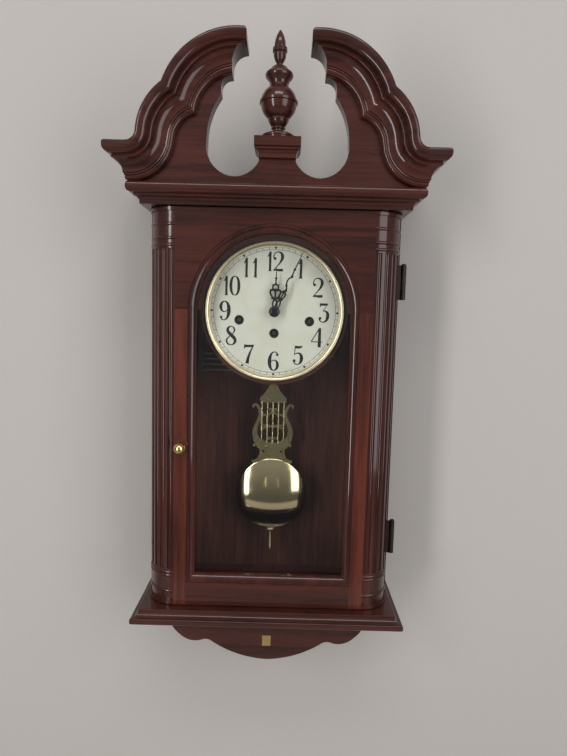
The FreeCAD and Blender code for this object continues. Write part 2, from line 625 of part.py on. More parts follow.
def make_swan_necks():
    """Two runs of moulding mitred at the cusp, sawn to an ogee inside and mitred to the return outside."""
    line = Crest(Size.of(0), s.inner_half - s.neck_spare)
    inside = Crest(s.neck_width, s.inner_half)
    start = s.board_half + s.neck_protrusion + s.neck_spare
    span = s.neck_protrusion + s.neck_spare * 2
    turn = (fillet_half - s.shoulder_half).bearing(fillet_lift)
    shoulder_top = s.shoulder_rise + s.shoulder_radius
    sections = {}
    for name, facing, x, rise in (("flat", FACING_SIDE, start, flat_rise),
                                  ("fillet", FACING_SIDE, fillet_half, flat_rise),
                                  ("shoulder", FACING_SIDE, s.shoulder_half, shoulder_top),
                                  ("lobe", FACING_DOWN, s.lobe_half + s.lobe_radius, s.lobe_rise)):
        sections[name] = free_sketch("neck_section_" + name, facing, neck_section(Size.of(0)), True,
                                     x=-x, depth=s.board_front, rise=rise)
    flat = straight("neck_flat", sections["flat"], start - fillet_half)
    fillet = bent("neck_fillet", sections["fillet"], -fillet_half, fillet_rise, turn, -1)
    shoulder = bent("neck_shoulder", sections["shoulder"], -s.shoulder_half, s.shoulder_rise, turn, -1)
    beyond = (s.lobe_half - line.inner[0]).bearing(line.inner[1] - s.lobe_rise)
    lobe = bent("neck_lobe", sections["lobe"], -s.lobe_half, s.lobe_rise, beyond + 90, 1)
    runs = [fused("neck_low", [flat, fillet, shoulder]), lobe]
    across = line.cusp[0] - inside.cusp[0]
    climb = line.cusp[1] - inside.cusp[1]
    outer = (line.cusp[0] + across * CUSP_OVERCUT, line.cusp[1] + climb * CUSP_OVERCUT)
    inner = (inside.cusp[0] - across * CUSP_OVERCUT, inside.cusp[1] - climb * CUSP_OVERCUT)
    mitred = []
    for name, run, side in (("low", runs[0], -2), ("high", runs[1], 2)):
        away = (climb * side, across * -side)
        waste = [outer, inner, (inner[0] + away[0], inner[1] + away[1]),
                 (outer[0] + away[0], outer[1] + away[1])]
        offcut = neck_waste("cusp_waste_" + name, waste, span)
        mitred.append(combined("Cut", "neck_mitred_" + name, run, offcut))
    corner = body("neck_mitre_waste", x=-s.board_half, depth=s.board_front, rise=cornice_top - s.neck_width)
    pad(corner, "XY_Plane", [[(0, 0), (-span, 0), (-span, -span)]], s.neck_width * 3)
    low = combined("Cut", "neck_lower_piece", mitred[0], corner)
    above = s.lobe_rise + s.lobe_radius + s.neck_width
    end = ogee_end()
    tip = s.inner_half + s.neck_end_round
    crest = s.lobe_rise + s.lobe_radius
    sawn = [(0, s.post_rise), (0, above), (tip, above), (tip, crest), Arc(s.neck_end_round),
            (s.inner_half, crest - s.neck_end_round)] + end + [(end[-1][0], s.post_rise)]
    high = combined("Cut", "neck_upper_piece", mitred[1], neck_waste("neck_end_waste", sawn, span))
    left = group("swan_neck_left", [low, high])
    node(left)
    node(mirror_image("swan_neck_right", left))


def make_swan_returns():
    """Lengths of the same moulding that run from the mitre back to the wall, on the cornice."""
    left = body("swan_return_left", x=-s.board_half, rise=flat_rise)
    board_back = s.board_front - s.board_thickness
    pad(left, "XZ_Plane", [flipped(neck_section(s.neck_back))], board_back)
    reach = s.board_thickness + s.neck_protrusion
    pad(left, "XZ_Plane", [flipped(neck_section(Size.of(0)))], reach, board_back)
    span = s.neck_protrusion + s.neck_spare * 2
    mitre = [(0, -s.board_front), (-span, -s.board_front - span), (0, -s.board_front - span)]
    pocket(left, "XY_Plane", [mitre], s.neck_width * 4, symmetric=True)
    node(group("swan_returns", [left, mirror_image("swan_return_right", left)]))


# Finial
plinth_top = s.post_rise + s.plinth_height
plinth_axis = s.board_front - s.board_thickness / 2


def make_plinth():
    """Moulded cap on the post: cove and fillet under a square slab, bored for the finial's spigot."""
    plinth = body("finial_plinth", depth=plinth_axis, rise=s.post_rise)
    half = s.plinth_half
    edge = half - s.plinth_quirk
    cove_top = s.plinth_neck + s.plinth_cove
    fillet_top = cove_top + s.plinth_fillet
    slab = fillet_top + s.plinth_quirk
    right = [(s.plinth_foot, 0), (s.plinth_foot, s.plinth_neck), Arc(-s.plinth_cove), (edge, cove_top),
             (edge, fillet_top), (edge - s.plinth_quirk, fillet_top), (edge - s.plinth_quirk, slab),
             (half, slab), (half, s.plinth_height)]
    pad(plinth, "XZ_Plane", [mirrored(right)], s.plinth_depth, symmetric=True)
    inset = half - s.plinth_depth / 2
    for side in (-1, 1):
        foot = (s.plinth_foot - inset) * side
        rim = (edge - inset) * side
        notch = (edge - s.plinth_quirk - inset) * side
        waste = [(foot, -s.plinth_neck), (foot, s.plinth_neck), Arc(s.plinth_cove * -side), (rim, cove_top),
                 (rim, fillet_top), (notch, fillet_top), (notch, slab), (half * side, slab),
                 (half * side, -s.plinth_neck)]
        pocket(plinth, "YZ_Plane", [waste], half * 3, symmetric=True)
    hole = s.finial_spigot / 2 + s.finial_fit
    pocket(plinth, "XY_Plane", [Ring(0, 0, hole)], s.finial_spigot_length + s.finial_fit, s.plinth_height)
    node(plinth)


def make_finial():
    """Turned finial: foot, ringed ball, moulded cap and an urn that ends in a point."""
    finial = body("finial", depth=plinth_axis, rise=plinth_top)
    ball = s.finial_ball / 2
    rows = [(s.finial_spigot, -s.finial_spigot_length), (s.finial_spigot, 0), (s.finial_foot, 0),
            (s.finial_foot, s.foot_low), Arc(s.foot_round), (s.finial_foot, s.foot_high), Arc(-s.foot_cove),
            (s.finial_stem, s.stem_low), (s.finial_stem, s.stem_high), (s.finial_thread, s.thread_low),
            Arc(s.thread_round), (s.finial_thread, s.thread_high), (s.finial_throat, s.throat_rise),
            Arc(s.throat_round), (s.finial_collar, s.collar_low), Arc(s.collar_round),
            (s.finial_collar, s.collar_high), (s.finial_seat, s.seat_rise), Arc(ball),
            (s.ball_edge, s.ball_low), (s.finial_ring, s.ball_low + s.ring_quirk),
            (s.finial_ring, s.ball_high - s.ring_quirk), (s.ball_edge, s.ball_high), Arc(ball),
            (s.finial_shoulder, s.shoulder_low), (s.finial_waist, s.waist_rise),
            (s.finial_shoulder, s.shoulder_high), (s.finial_cap, s.cap_low), Arc(s.cap_round),
            (s.finial_crown, s.cap_high), (s.finial_step, s.step_low), Arc(s.step_round),
            (s.finial_dome, s.step_high), (s.finial_neck, s.finial_neck_rise), (s.finial_neck, s.neck_high),
            Arc(s.urn_round), (s.urn_foot, s.urn_low), (s.finial_urn, s.urn_rim_low),
            (s.finial_urn, s.urn_rim_high), (s.finial_bud, s.bud_low), Arc(s.bud_round),
            (s.finial_point, s.finial_height)]
    side = [row if isinstance(row, Arc) else (row[0] / 2, row[1]) for row in rows]
    profile = [(0, -s.finial_spigot_length)] + side + [(0, s.finial_height)]
    turned(finial, "XZ_Plane", profile, "V_Axis")
    node(finial)


def make_apron():
    """Scroll-cut apron under the base, with a bare plaque."""
    underside = -s.base_drop - s.base_thickness
    half = s.apron_half
    fall = s.apron_fall
    low = underside - fall
    right = [(0, low), Arc(half * 1.1), (half * 0.58, low + fall * 0.40), Arc(half * -0.11),
             (half * 0.68, low + fall * 0.40), Arc(half * 0.22), (half * 0.86, low + fall * 0.46),
             Arc(half * 0.5), (half * 0.97, low + fall * 0.68), (half, underside)]
    left = [item if isinstance(item, Arc) else (-Size.of(item[0]), item[1]) for item in reversed(right[1:])]
    depth = s.apron_front - s.apron_thickness
    node(plate("apron", [right + left], s.apron_thickness, depth))
    width = s.plaque_width / 2
    height = s.plaque_height / 2
    node(plate("apron_plaque", [rectangle(width, -height, height)], s.plaque_thickness, s.apron_front,
               rise=underside - s.plaque_fall))


# Door levels
stile_half = s.sight_radius + s.sight_width
column_half = s.case_half - s.column_radius
frame_back = door_front - s.frame_thickness
rail_top = door_bottom + s.rail_height
moulding_back = door_front - s.sight_setback - s.sight_depth
glass_back = moulding_back - s.glass_thickness


def arch(half, bottom):
    return [(-half, bottom), (half, bottom), (half, 0), Arc(half), (0, half), Arc(half), (-half, 0)]


def make_door_frame():
    width = column_half - stile_half
    for name, left in (("right", stile_half), ("left", -column_half)):
        node(box("door_stile_" + name, left, frame_back, door_bottom, width, s.frame_thickness, -door_bottom))
    head = [(-column_half, 0), (-stile_half, 0), Arc(-stile_half), (0, stile_half), Arc(-stile_half),
            (stile_half, 0), (column_half, 0), (column_half, door_top), (-column_half, door_top)]
    node(plate("door_head_rail", [head], s.frame_thickness, frame_back))
    node(plate("door_bottom_rail", [rectangle(stile_half, door_bottom, rail_top)], s.frame_thickness,
               frame_back))


def make_glazing():
    """Arched sight moulding let into the frame, with the glass behind it and a bead to hold the glass."""
    path = [(0, rail_top), (stile_half, rail_top), (stile_half, 0), Arc(stile_half), (0, stile_half)]
    spine = free_sketch("sight_path", FACING_ROOM, path, False, depth=moulding_back)
    wide = s.sight_width
    deep = s.sight_depth
    step = deep * SIGHT_BACK_STEP
    section = [(0, 0), (deep, 0), (deep, s.sight_lip), (deep - s.sight_lip / 2, s.sight_lip),
               Arc(wide * SIGHT_COVE_ROUND), (step, wide - s.sight_lip / 2), (step, wide), (0, wide)]
    profile = free_sketch("sight_section", FACING_SIDE, section, True, depth=moulding_back, rise=rail_top)
    right = sweep("sight_right", profile, spine)
    node(fused("sight_moulding", [right, mirror_image("sight_left", right)]))
    glass_half = stile_half - s.glass_margin
    node(plate("door_glass", [arch(glass_half, rail_top + s.glass_margin)], s.glass_thickness, glass_back))
    bead_half = stile_half - s.glass_bead
    node(plate("glass_bead", [arch(stile_half, rail_top), arch(bead_half, rail_top + s.glass_bead)],
               s.glass_bead_depth, glass_back - s.glass_bead_depth))


flute_top = door_top - s.flute_fall
flute_foot = door_bottom + s.flute_lift


def column_profile():
    """Half outline of a column from its foot to its capital: drums between rings, and a plain shaft."""
    shaft = s.shaft_radius
    drum = s.drum_radius
    ring = s.ring_height
    outer = s.column_radius
    bulge = ring * RING_BULGE

    def bead(low):
        return [(drum, low), Arc(bulge), (drum, low + ring)]

    foot = flute_foot
    top = flute_top
    rows = [(0, door_bottom), (outer, door_bottom), (outer, door_bottom + ring)]
    rows += [(drum, door_bottom + ring)]
    rows += bead(door_bottom + s.base_ring)
    rows += bead(foot - s.shaft_margin - ring * 2)
    rows += bead(foot - s.shaft_margin - ring)[1:]
    rows += [(shaft, foot - s.shaft_margin), (shaft, top + s.shaft_margin)]
    rows += bead(top + s.shaft_margin)
    rows += bead(top + s.shaft_margin + ring * 2)
    rows += bead(door_top - s.capital_ring)
    rows += [(drum, door_top - ring), (outer, door_top - ring), (outer, door_top), (0, door_top)]
    return rows


def make_columns():
    """Quarter-round columns on the outer edges of the door, with flutes."""
    column = body("column_right", x=column_half, depth=door_back)
    turned(column, "XZ_Plane", column_profile(), "V_Axis", 90, reverse=True)
    flutes = []
    for index in range(FLUTES):
        angle = math.radians(90.0 * (index + 0.5) / FLUTES)
        flutes.append(Ring(s.shaft_radius * math.cos(angle), s.shaft_radius * -math.sin(angle),
                           s.flute_radius))
    pocket(column, "XY_Plane", flutes, flute_top - flute_foot, flute_top)
    node(column)
    node(mirror_image("column_left", column))


def make_knob():
    knob = body("door_knob", x=-s.knob_half, depth=door_front, rise=-s.knob_drop)
    ball = s.knob_diameter / 2
    stem = s.knob_stem / 2
    plate_radius = s.knob_plate / 2
    centre = ball - s.knob_length
    neck = centre + (ball * ball - stem * stem).root()
    profile = [(0, 0), (0, plate_radius), (-s.knob_flange, plate_radius), (-s.knob_flange, stem),
               (neck, stem), Arc(ball), (centre, ball), Arc(ball), (-s.knob_length, 0)]
    turned(knob, "YZ_Plane", profile, "H_Axis")
    node(knob)


# Hinges
hinge_half = s.case_half + s.hinge_offset
hinge_depth = s.case_depth + s.door_gap / 2
leaf_edge = hinge_half - s.hinge_knuckle - s.hinge_slack


def cylinder(label, radius, length, x, depth, rise, axis="z"):
    """A round bar that starts at the given point and runs up, towards the room or to the right."""
    made = doc.addObject("Part::Cylinder", label)
    turn = {"z": FreeCAD.Rotation(), "room": FreeCAD.Rotation(Vector(1, 0, 0), 90),
            "x": FreeCAD.Rotation(Vector(0, 1, 0), 90)}[axis]
    made.Placement = FreeCAD.Placement(Vector(), turn)
    made.setExpression("Radius", Size.of(radius).text)
    made.setExpression("Height", Size.of(length).text)
    place(made, x, depth, rise)
    return made


def hinge_leaf(name, rise, depth, knuckles):
    """Leaf plate with its own knuckles, bored for the pin; knuckles are (low, high) above the middle."""
    low = rise - s.hinge_height / 2
    width = leaf_edge - s.case_half + s.hinge_leaf_reach
    pieces = [box(name + "_plate", s.case_half - s.hinge_leaf_reach, depth, low, width, s.hinge_leaf,
                  s.hinge_height)]
    for index, (bottom, top) in enumerate(knuckles):
        pieces.append(box("%s_arm%d" % (name, index), leaf_edge, depth, rise + bottom,
                          hinge_half - leaf_edge, s.hinge_leaf, top - bottom))
        pieces.append(cylinder("%s_knuckle%d" % (name, index), s.hinge_knuckle, top - bottom,
                               hinge_half, hinge_depth, rise + bottom))
    bore = cylinder(name + "_bore", s.hinge_pin + s.pin_clearance, s.hinge_height * 2,
                    hinge_half, hinge_depth, rise - s.hinge_height)
    return combined("Cut", name, fused(name + "_blank", pieces), bore)


def make_hinges():
    third = s.hinge_height / 6
    half = s.hinge_height / 2
    case_leaves = []
    door_leaves = []
    pins = []
    for name, rise in (("upper", door_top - s.hinge_fall), ("lower", door_bottom + s.hinge_lift)):
        case_leaves.append(hinge_leaf("case_leaf_" + name, rise, s.case_depth,
                                      [(-half, -third), (third, half)]))
        slack = s.hinge_slack
        door_leaves.append(hinge_leaf("door_leaf_" + name, rise, door_back - s.hinge_leaf,
                                      [(slack - third, third - slack)]))
        shank = cylinder("pin_shank_" + name, s.hinge_pin, s.hinge_height, hinge_half, hinge_depth,
                         rise - half)
        head = cylinder("pin_head_" + name, s.pin_head, s.pin_head_height, hinge_half, hinge_depth,
                        rise + half)
        pins.append(fused("hinge_pin_" + name, [shank, head]))
    node(group("case_hinge_leaves", case_leaves))
    node(group("door_hinge_leaves", door_leaves))
    node(group("hinge_pins", pins))


def make_catch():
    """Magnetic catch inside the left side, where the edge of the door closes."""
    low = -s.catch_drop - s.catch_height / 2
    node(box("door_catch", -inside_half, s.case_depth - s.catch_depth, low, s.catch_width, s.catch_depth,
             s.catch_height))


# Dial
WINDERS = (("strike", -1), ("time", 0), ("chime", 1))


def winder_at(side):
    if side:
        return s.winding_half * side, -s.winding_drop
    return Size.of(0), -s.strike_drop


def make_dial():
    holes = [Ring(*winder_at(side), s.winding_hole) for _, side in WINDERS]
    board = [(-inside_half, s.cornice_rise), (-inside_half, 0), (-s.surround_radius, 0),
             Arc(s.surround_radius), (0, -s.surround_radius), Arc(s.surround_radius),
             (s.surround_radius, 0), (inside_half, 0),
             (inside_half, s.cornice_rise)]
    centre = Ring(0, 0, s.centre_hole)
    node(plate("dial_board", [board, centre] + holes, s.dial_board, dial_board_back))
    node(plate("dial", [Ring(0, 0, s.dial_radius), centre] + holes, s.dial_thickness, dial_face))
    bezel = body("dial_bezel", depth=dial_face)
    tall = s.bezel_height
    seat = s.dial_radius + s.glass_margin / 2
    profile = [(0, seat), (0, s.bezel_radius), (-tall / 2, s.bezel_radius), Arc(-tall / 2),
               (-tall, s.bezel_radius - tall / 2), (-tall, s.bezel_radius - tall * 0.7),
               (-s.dial_thickness - s.bezel_rebate, s.bezel_inner), (-s.dial_thickness, s.bezel_inner),
               (-s.dial_thickness, seat)]
    turned(bezel, "YZ_Plane", profile, "H_Axis")
    node(bezel)
    grommets = []
    for name, side in WINDERS:
        x, rise = winder_at(side)
        grommet = body("grommet_" + name, x=x, depth=dial_face, rise=rise)
        bore = Ring(0, 0, s.grommet_bore)
        pad(grommet, "XZ_Plane", [Ring(0, 0, s.winding_hole), bore], s.dial_thickness)
        pad(grommet, "XZ_Plane", [Ring(0, 0, s.grommet_flange), bore], s.grommet_height, s.dial_thickness)
        grommets.append(grommet)
    node(group("winding_grommets", grommets))


# Movement
front_plate_front = front_plate_back + s.plate_thickness
wheel_plane = front_plate_front + s.wheel_lift
hour_plane = wheel_plane + s.wheel_stack
centre_distance = s.motion_module * (s.cannon_teeth + s.minute_teeth) / 2
hour_module = centre_distance * 2 / (s.minute_leaves + s.hour_teeth)
anchor_rise = s.suspension_rise
escape_rise = s.suspension_rise - s.escape_drop


def make_plates():
    clear = s.running_clearance
    arbors = [Ring(*winder_at(side), s.arbor_radius + clear) for _, side in WINDERS]
    pivots = [Ring(0, 0, s.centre_arbor + clear), Ring(0, anchor_rise, s.anchor_arbor + clear),
              Ring(0, escape_rise, s.anchor_arbor + clear)]
    outline = rectangle(s.plate_half, -s.plate_drop, s.plate_rise)
    front = body("movement_front_plate", depth=front_plate_back)
    pad(front, "XZ_Plane", [outline] + arbors + pivots, s.plate_thickness)
    stud = [Ring(0, centre_distance, s.stud_radius)]
    pad(front, "XZ_Plane", stud, hour_plane + s.wheel_thickness - front_plate_front, s.plate_thickness)
    node(front)
    node(plate("movement_back_plate", [outline] + arbors + pivots, s.plate_thickness, back_plate_back))
    pillars = []
    corner = s.plate_half - s.pillar_inset
    top = s.plate_rise - s.pillar_inset
    foot = s.pillar_inset - s.plate_drop
    for index, (x, rise) in enumerate(((-corner, top), (corner, top), (-corner, foot), (corner, foot))):
        pillars.append(cylinder("pillar%d" % index, s.pillar_radius, s.plate_spacing, x, back_plate_front,
                                rise, "room"))
        pillars.append(cylinder("dial_foot%d" % index, s.pillar_radius, s.movement_gap, x, front_plate_front,
                                rise, "room"))
    node(group("movement_pillars", pillars))


def gear(name, teeth, module, thickness, depth, rise, gap_down, bore):
    """Clock wheel with straight-sided teeth; gap_down puts a space, not a tooth, at the bottom."""
    count = int(round(teeth.value))
    pitch = module.value * count / 2
    radii = (pitch - TOOTH_ROOT * module.value, pitch, pitch + TOOTH_TOP * module.value)
    stations = tuple(zip(radii, TOOTH_SHARES))
    points = []
    for index in range(count):
        middle = 2 * math.pi * (index + (0.5 if gap_down else 0.0)) / count - math.pi / 2
        for order in (1, -1):
            for radius, share in stations[::order]:
                angle = middle - order * share * 2 * math.pi / count
                points.append(Vector(radius * math.cos(angle), 0, radius * math.sin(angle)))
    face = Part.Face(Part.makePolygon(points + points[:1]))
    solid = face.extrude(Vector(0, -thickness.value, 0))
    if bore is not None:
        mouth = Vector(0, thickness.value, 0)
        hole = Part.makeCylinder(bore.value, thickness.value * 3, mouth, Vector(0, -1, 0))
        solid = solid.cut(hole)
    made = doc.addObject("Part::Feature", name)
    made.Shape = solid
    place(made, 0, depth, rise)
    return made


def make_motion_work():
    """Cannon pinion, minute wheel and hour wheel: twelve to one between the hands."""
    arbor_end = minute_hand_depth + s.hand_thickness + s.nut_height
    arbor = cylinder("arbor_bar", s.centre_arbor, arbor_end - back_plate_back, 0, back_plate_back, 0, "room")
    pipe = cylinder("cannon_pipe", s.cannon_radius, minute_hand_depth + s.hand_thickness - wheel_plane,
                    0, wheel_plane, 0, "room")
    pinion = gear("cannon_pinion", s.cannon_teeth, s.motion_module, s.wheel_thickness, wheel_plane, 0,
                  False, None)
    node(fused("centre_arbor", [arbor, pipe, pinion]))
    stud_bore = s.stud_radius + s.running_clearance
    wheel = gear("minute_wheel_rim", s.minute_teeth, s.motion_module, s.wheel_thickness, wheel_plane,
                 centre_distance, True, stud_bore)
    leaves = gear("minute_wheel_pinion", s.minute_leaves, hour_module, s.wheel_stack,
                  wheel_plane + s.wheel_thickness, centre_distance, True, stud_bore)
    node(fused("minute_wheel", [wheel, leaves]))
    hour_bore = s.cannon_radius + s.running_clearance
    rim = gear("hour_wheel_rim", s.hour_teeth, hour_module, s.wheel_thickness, hour_plane, 0, False,
               hour_bore)
    sleeve = body("hour_pipe", depth=hour_plane)
    pad(sleeve, "XZ_Plane", [Ring(0, 0, s.pipe_radius), Ring(0, 0, hour_bore)],
        s.hour_hand_depth + s.hand_thickness - hour_plane)
    node(fused("hour_wheel", [rim, sleeve]))


# Hands
minute_hand_depth = s.hour_hand_depth + s.hand_thickness + s.hand_gap
MINUTES_PAST_TWELVE = 4.1


def hand(label, length, lobe, width, bore, depth, angle):
    """Pierced hand: round hub, slim stem, an open lobe and a long point."""
    made = doc.addObject("PartDesign::Body", label)
    made.Label = label
    made.Placement = FreeCAD.Placement(Vector(), FreeCAD.Rotation(Vector(0, 1, 0), angle))
    place(made, depth=depth)
    stem = s.hand_stem
    curve = width * HAND_LOBE_ROUND
    right = [(stem, 0), (stem, lobe - width), Arc(curve), (width / 2, lobe), Arc(curve),
             (stem, lobe + width), (stem * 2, lobe + width * 1.3), (stem, lobe + width * 1.6),
             (stem * 0.25, length)]
    eye = Ring(0, lobe, width / 2 - s.hand_rim)
    pad(made, "XZ_Plane", [mirrored(right), eye], s.hand_thickness)
    pad(made, "XZ_Plane", [Ring(0, 0, s.hand_hub)], s.hand_thickness)
    pocket(made, "XZ_Plane", [Ring(0, 0, bore)], s.hand_thickness, reverse=True)
    node(made)


def make_hands():
    hand("hour_hand", s.hour_hand_length, s.hour_lobe, s.hour_hand_width, s.pipe_radius,
         s.hour_hand_depth, MINUTES_PAST_TWELVE * 0.5)
    hand("minute_hand", s.minute_hand_length, s.minute_lobe, s.minute_hand_width, s.cannon_radius,
         minute_hand_depth, MINUTES_PAST_TWELVE * 6.0)
    nut = body("hand_nut", depth=minute_hand_depth + s.hand_thickness)
    tall = s.nut_height
    profile = [(0, s.centre_arbor), (0, s.nut_radius), (-tall / 3, s.nut_radius), Arc(s.nut_radius),
               (-tall, s.centre_arbor)]
    turned(nut, "YZ_Plane", profile, "H_Axis")
    node(nut)


def star(name, teeth, radius, depth_of_tooth, lean, thickness, x, depth, rise):
    """Wheel with pointed teeth, upright or leaning, for the ratchets and the escape wheel."""
    count = int(round(teeth.value))
    points = []
    for index in range(count):
        for reach, turn in ((radius.value, lean), (radius.value - depth_of_tooth.value, 0.5)):
            angle = 2 * math.pi * (index + turn) / count
            points.append(Vector(reach * math.cos(angle), 0, reach * math.sin(angle)))
    made = doc.addObject("Part::Feature", name)
    made.Shape = Part.Face(Part.makePolygon(points + points[:1])).extrude(Vector(0, -thickness.value, 0))
    place(made, x, depth, rise)
    return made


def make_winding():
    """Winding arbors with ratchet wheels and squared ends, and the spring barrels that they pass through."""
    barrels = []
    square_start = s.arbor_end - s.square_length
    for name, side in WINDERS:
        x, rise = winder_at(side)
        bar = cylinder("arbor_round_" + name, s.arbor_radius, square_start - back_plate_back, x,
                       back_plate_back, rise, "room")
        square = box("arbor_square_" + name, x - s.arbor_square / 2, square_start, rise - s.arbor_square / 2,
                     s.arbor_square, s.square_length, s.arbor_square)
        ratchet = star("ratchet_" + name, s.ratchet_teeth, s.ratchet_radius, s.ratchet_tooth, 0.1,
                       s.ratchet_thickness, x, front_plate_front + s.ratchet_gap, rise)
        node(fused(name + "_winding_arbor", [bar, square, ratchet]))
        barrel = body("barrel_" + name, x=x, rise=rise,
                      depth=back_plate_front + (s.plate_spacing - s.barrel_length) / 2)
        bore = Ring(0, 0, s.arbor_radius + s.running_clearance)
        pad(barrel, "XZ_Plane", [Ring(0, 0, s.barrel_radius), bore], s.barrel_length)
        barrels.append(barrel)
    node(group("spring_barrels", barrels))


# Escapement and pendulum
crutch_front = back_plate_back - s.crutch_offset
crutch_back = crutch_front - s.crutch_thickness
leader_back = s.pendulum_depth - s.leader_thickness / 2
leader_front = s.pendulum_depth + s.leader_thickness / 2
lyre_front = leader_front + s.lyre_thickness


def make_escapement():
    wheel = star("escape_star", s.escape_teeth, s.escape_radius, s.escape_tooth, 0.25, s.escape_thickness,
                 0, back_plate_front + s.escape_setback, escape_rise)
    span = front_plate_front - back_plate_back
    arbor = cylinder("escape_arbor", s.anchor_arbor, span, 0, back_plate_back, escape_rise, "room")
    node(fused("escape_wheel", [wheel, arbor]))
    lead = s.anchor_thickness
    reach = s.escape_radius + s.pallet_gap
    inner = s.anchor_half - lead
    pallet = (reach * reach - inner * inner).root() - s.escape_drop
    right = [(lead / 3, -lead), (inner, pallet), (s.anchor_half, pallet),
             (s.anchor_half + lead / 2, pallet / 2), (lead, lead)]
    blank = plate("anchor_blank", [mirrored(right)], lead,
                  back_plate_front + s.escape_setback + s.escape_thickness / 2 - lead / 2, rise=anchor_rise)
    bar = cylinder("anchor_bar", s.anchor_arbor, front_plate_front - crutch_back, 0, crutch_back,
                   anchor_rise, "room")
    half = s.crutch_width / 2
    crutch = plate("crutch", [rectangle(half, -s.crutch_length, half)], s.crutch_thickness, crutch_back,
                   rise=anchor_rise)
    pin_start = leader_back - s.crutch_thickness
    pin = cylinder("crutch_pin_bar", s.crutch_pin, crutch_front - pin_start, 0, pin_start,
                   anchor_rise - s.crutch_length + s.crutch_width / 2, "room")
    node(fused("anchor", [blank, bar, crutch, pin]))


def make_suspension():
    """Bracket on the back plate with the pin that the pendulum hangs from."""
    wide = s.bracket_width
    face = leader_front + s.hinge_slack
    shelf_rise = s.suspension_rise + s.bracket_rise
    shelf = box("bracket_shelf", -wide / 2, face, shelf_rise, wide, back_plate_back - face, s.bracket_sheet)
    drop = s.bracket_rise * 2
    cheek = box("bracket_cheek", -wide / 2, face, shelf_rise - drop, wide, s.bracket_sheet, drop)
    start = leader_back - s.bracket_sheet / 2
    pin = cylinder("bracket_pin", s.suspension_pin, face + s.bracket_sheet - start, 0, start,
                   s.suspension_rise, "room")
    node(fused("suspension_bracket", [shelf, cheek, pin]))


def make_pendulum():
    leader = body("pendulum_leader", depth=leader_back)
    half = s.leader_width / 2
    low = -s.lyre_plate_bottom
    eye = s.suspension_pin + s.running_clearance
    slot = s.crutch_pin + s.hinge_slack
    slot_rise = s.suspension_rise - s.crutch_length + s.crutch_width / 2
    strip = rectangle(half, low, s.suspension_rise + half)
    pad(leader, "XZ_Plane", [strip, Ring(0, s.suspension_rise, eye), Ring(0, slot_rise, slot)],
        s.leader_thickness)
    node(leader)
    node(make_lyre())
    bob = body("pendulum_bob", depth=lyre_front, rise=-s.bob_drop)
    radius = s.bob_diameter / 2
    dome = (radius * radius + s.bob_dome * s.bob_dome) / (s.bob_dome * 2)
    profile = [(0, 0), (0, radius - s.bob_rim / 2), (-s.bob_rim / 2, radius), (-s.bob_rim, radius),
               Arc(dome), (-s.bob_rim - s.bob_dome, 0)]
    turned(bob, "YZ_Plane", profile, "H_Axis")
    node(bob)
    nut = body("rating_nut", depth=rod_depth, rise=-s.bob_drop - radius - s.hinge_slack - s.nut_thickness)
    pad(nut, "XY_Plane", [Ring(0, 0, s.nut_size / 2), Ring(0, 0, s.rod_radius)], s.nut_thickness)
    node(nut)


rod_depth = lyre_front - s.rod_radius - s.rod_clearance


def make_lyre():
    """Brass lyre: keystone plate, five strings, two bars, scrolled arms, waist and foot, with the rod."""
    lyre = body("lyre_plate", depth=leader_front)
    wide = s.lyre_half
    waist = s.lyre_waist
    foot = s.lyre_foot
    band = s.lyre_band
    bowl = -s.lyre_bowl
    bottom = -s.lyre_bottom
    bar = -s.lyre_bar
    tip = -s.lyre_tip
    right = [(foot - band, bottom), (foot, bottom + band / 2), Arc(band * 3), (waist, bowl - band * 2.4),
             Arc(-band * 1.7), (wide - band, bowl - band), (wide - band * 0.8, bowl), Arc(wide * 0.8),
             (wide, bowl + wide * 0.55), Arc(wide * 1.4), (waist, bar), Arc(-band * 2.4),
             (wide - band / 2, tip - band * 0.5), Arc(band * 0.6), (wide - band * 0.7, tip), Arc(band * 2.4),
             (waist - band * 0.8, bar), Arc(-wide * 1.6), (wide - band * 1.6, bowl + wide * 0.55),
             Arc(-wide * 0.8), (band * 0.2, bowl)]
    pad(lyre, "XZ_Plane", [mirrored(right)], s.lyre_thickness)
    shoulder = waist + band * 0.2
    plate_low = -s.lyre_plate_bottom
    keystone = [(shoulder, plate_low), (shoulder, plate_low + band * 1.6), Arc(-s.lyre_half),
                (s.leader_width * 0.85, -s.lyre_top)]
    string = s.lyre_string
    strings = []
    for index in range(STRINGS):
        x = s.lyre_string_pitch * (index - (STRINGS - 1) / 2)
        strings.append([(x - string, bowl - band), (x + string, bowl - band), (x + string, plate_low + band),
                        (x - string, plate_low + band)])
    grille = body("lyre_strings", depth=leader_front)
    pad(grille, "XZ_Plane", [mirrored(keystone)], s.lyre_thickness)
    for loop in strings:
        pad(grille, "XZ_Plane", [loop], s.lyre_thickness)
    for rise, half in ((bar, waist - band * 0.4), (-s.lyre_lower_bar, wide - band * 1.3)):
        pad(grille, "XZ_Plane", [rectangle(half, rise - string, rise + string)], s.lyre_thickness)
    rod_top = bottom + band * 2
    rod = cylinder("rod_bar", s.rod_radius, rod_top + s.rod_drop, 0, rod_depth, -s.rod_drop)
    return fused("pendulum_lyre", [lyre, grille, rod])


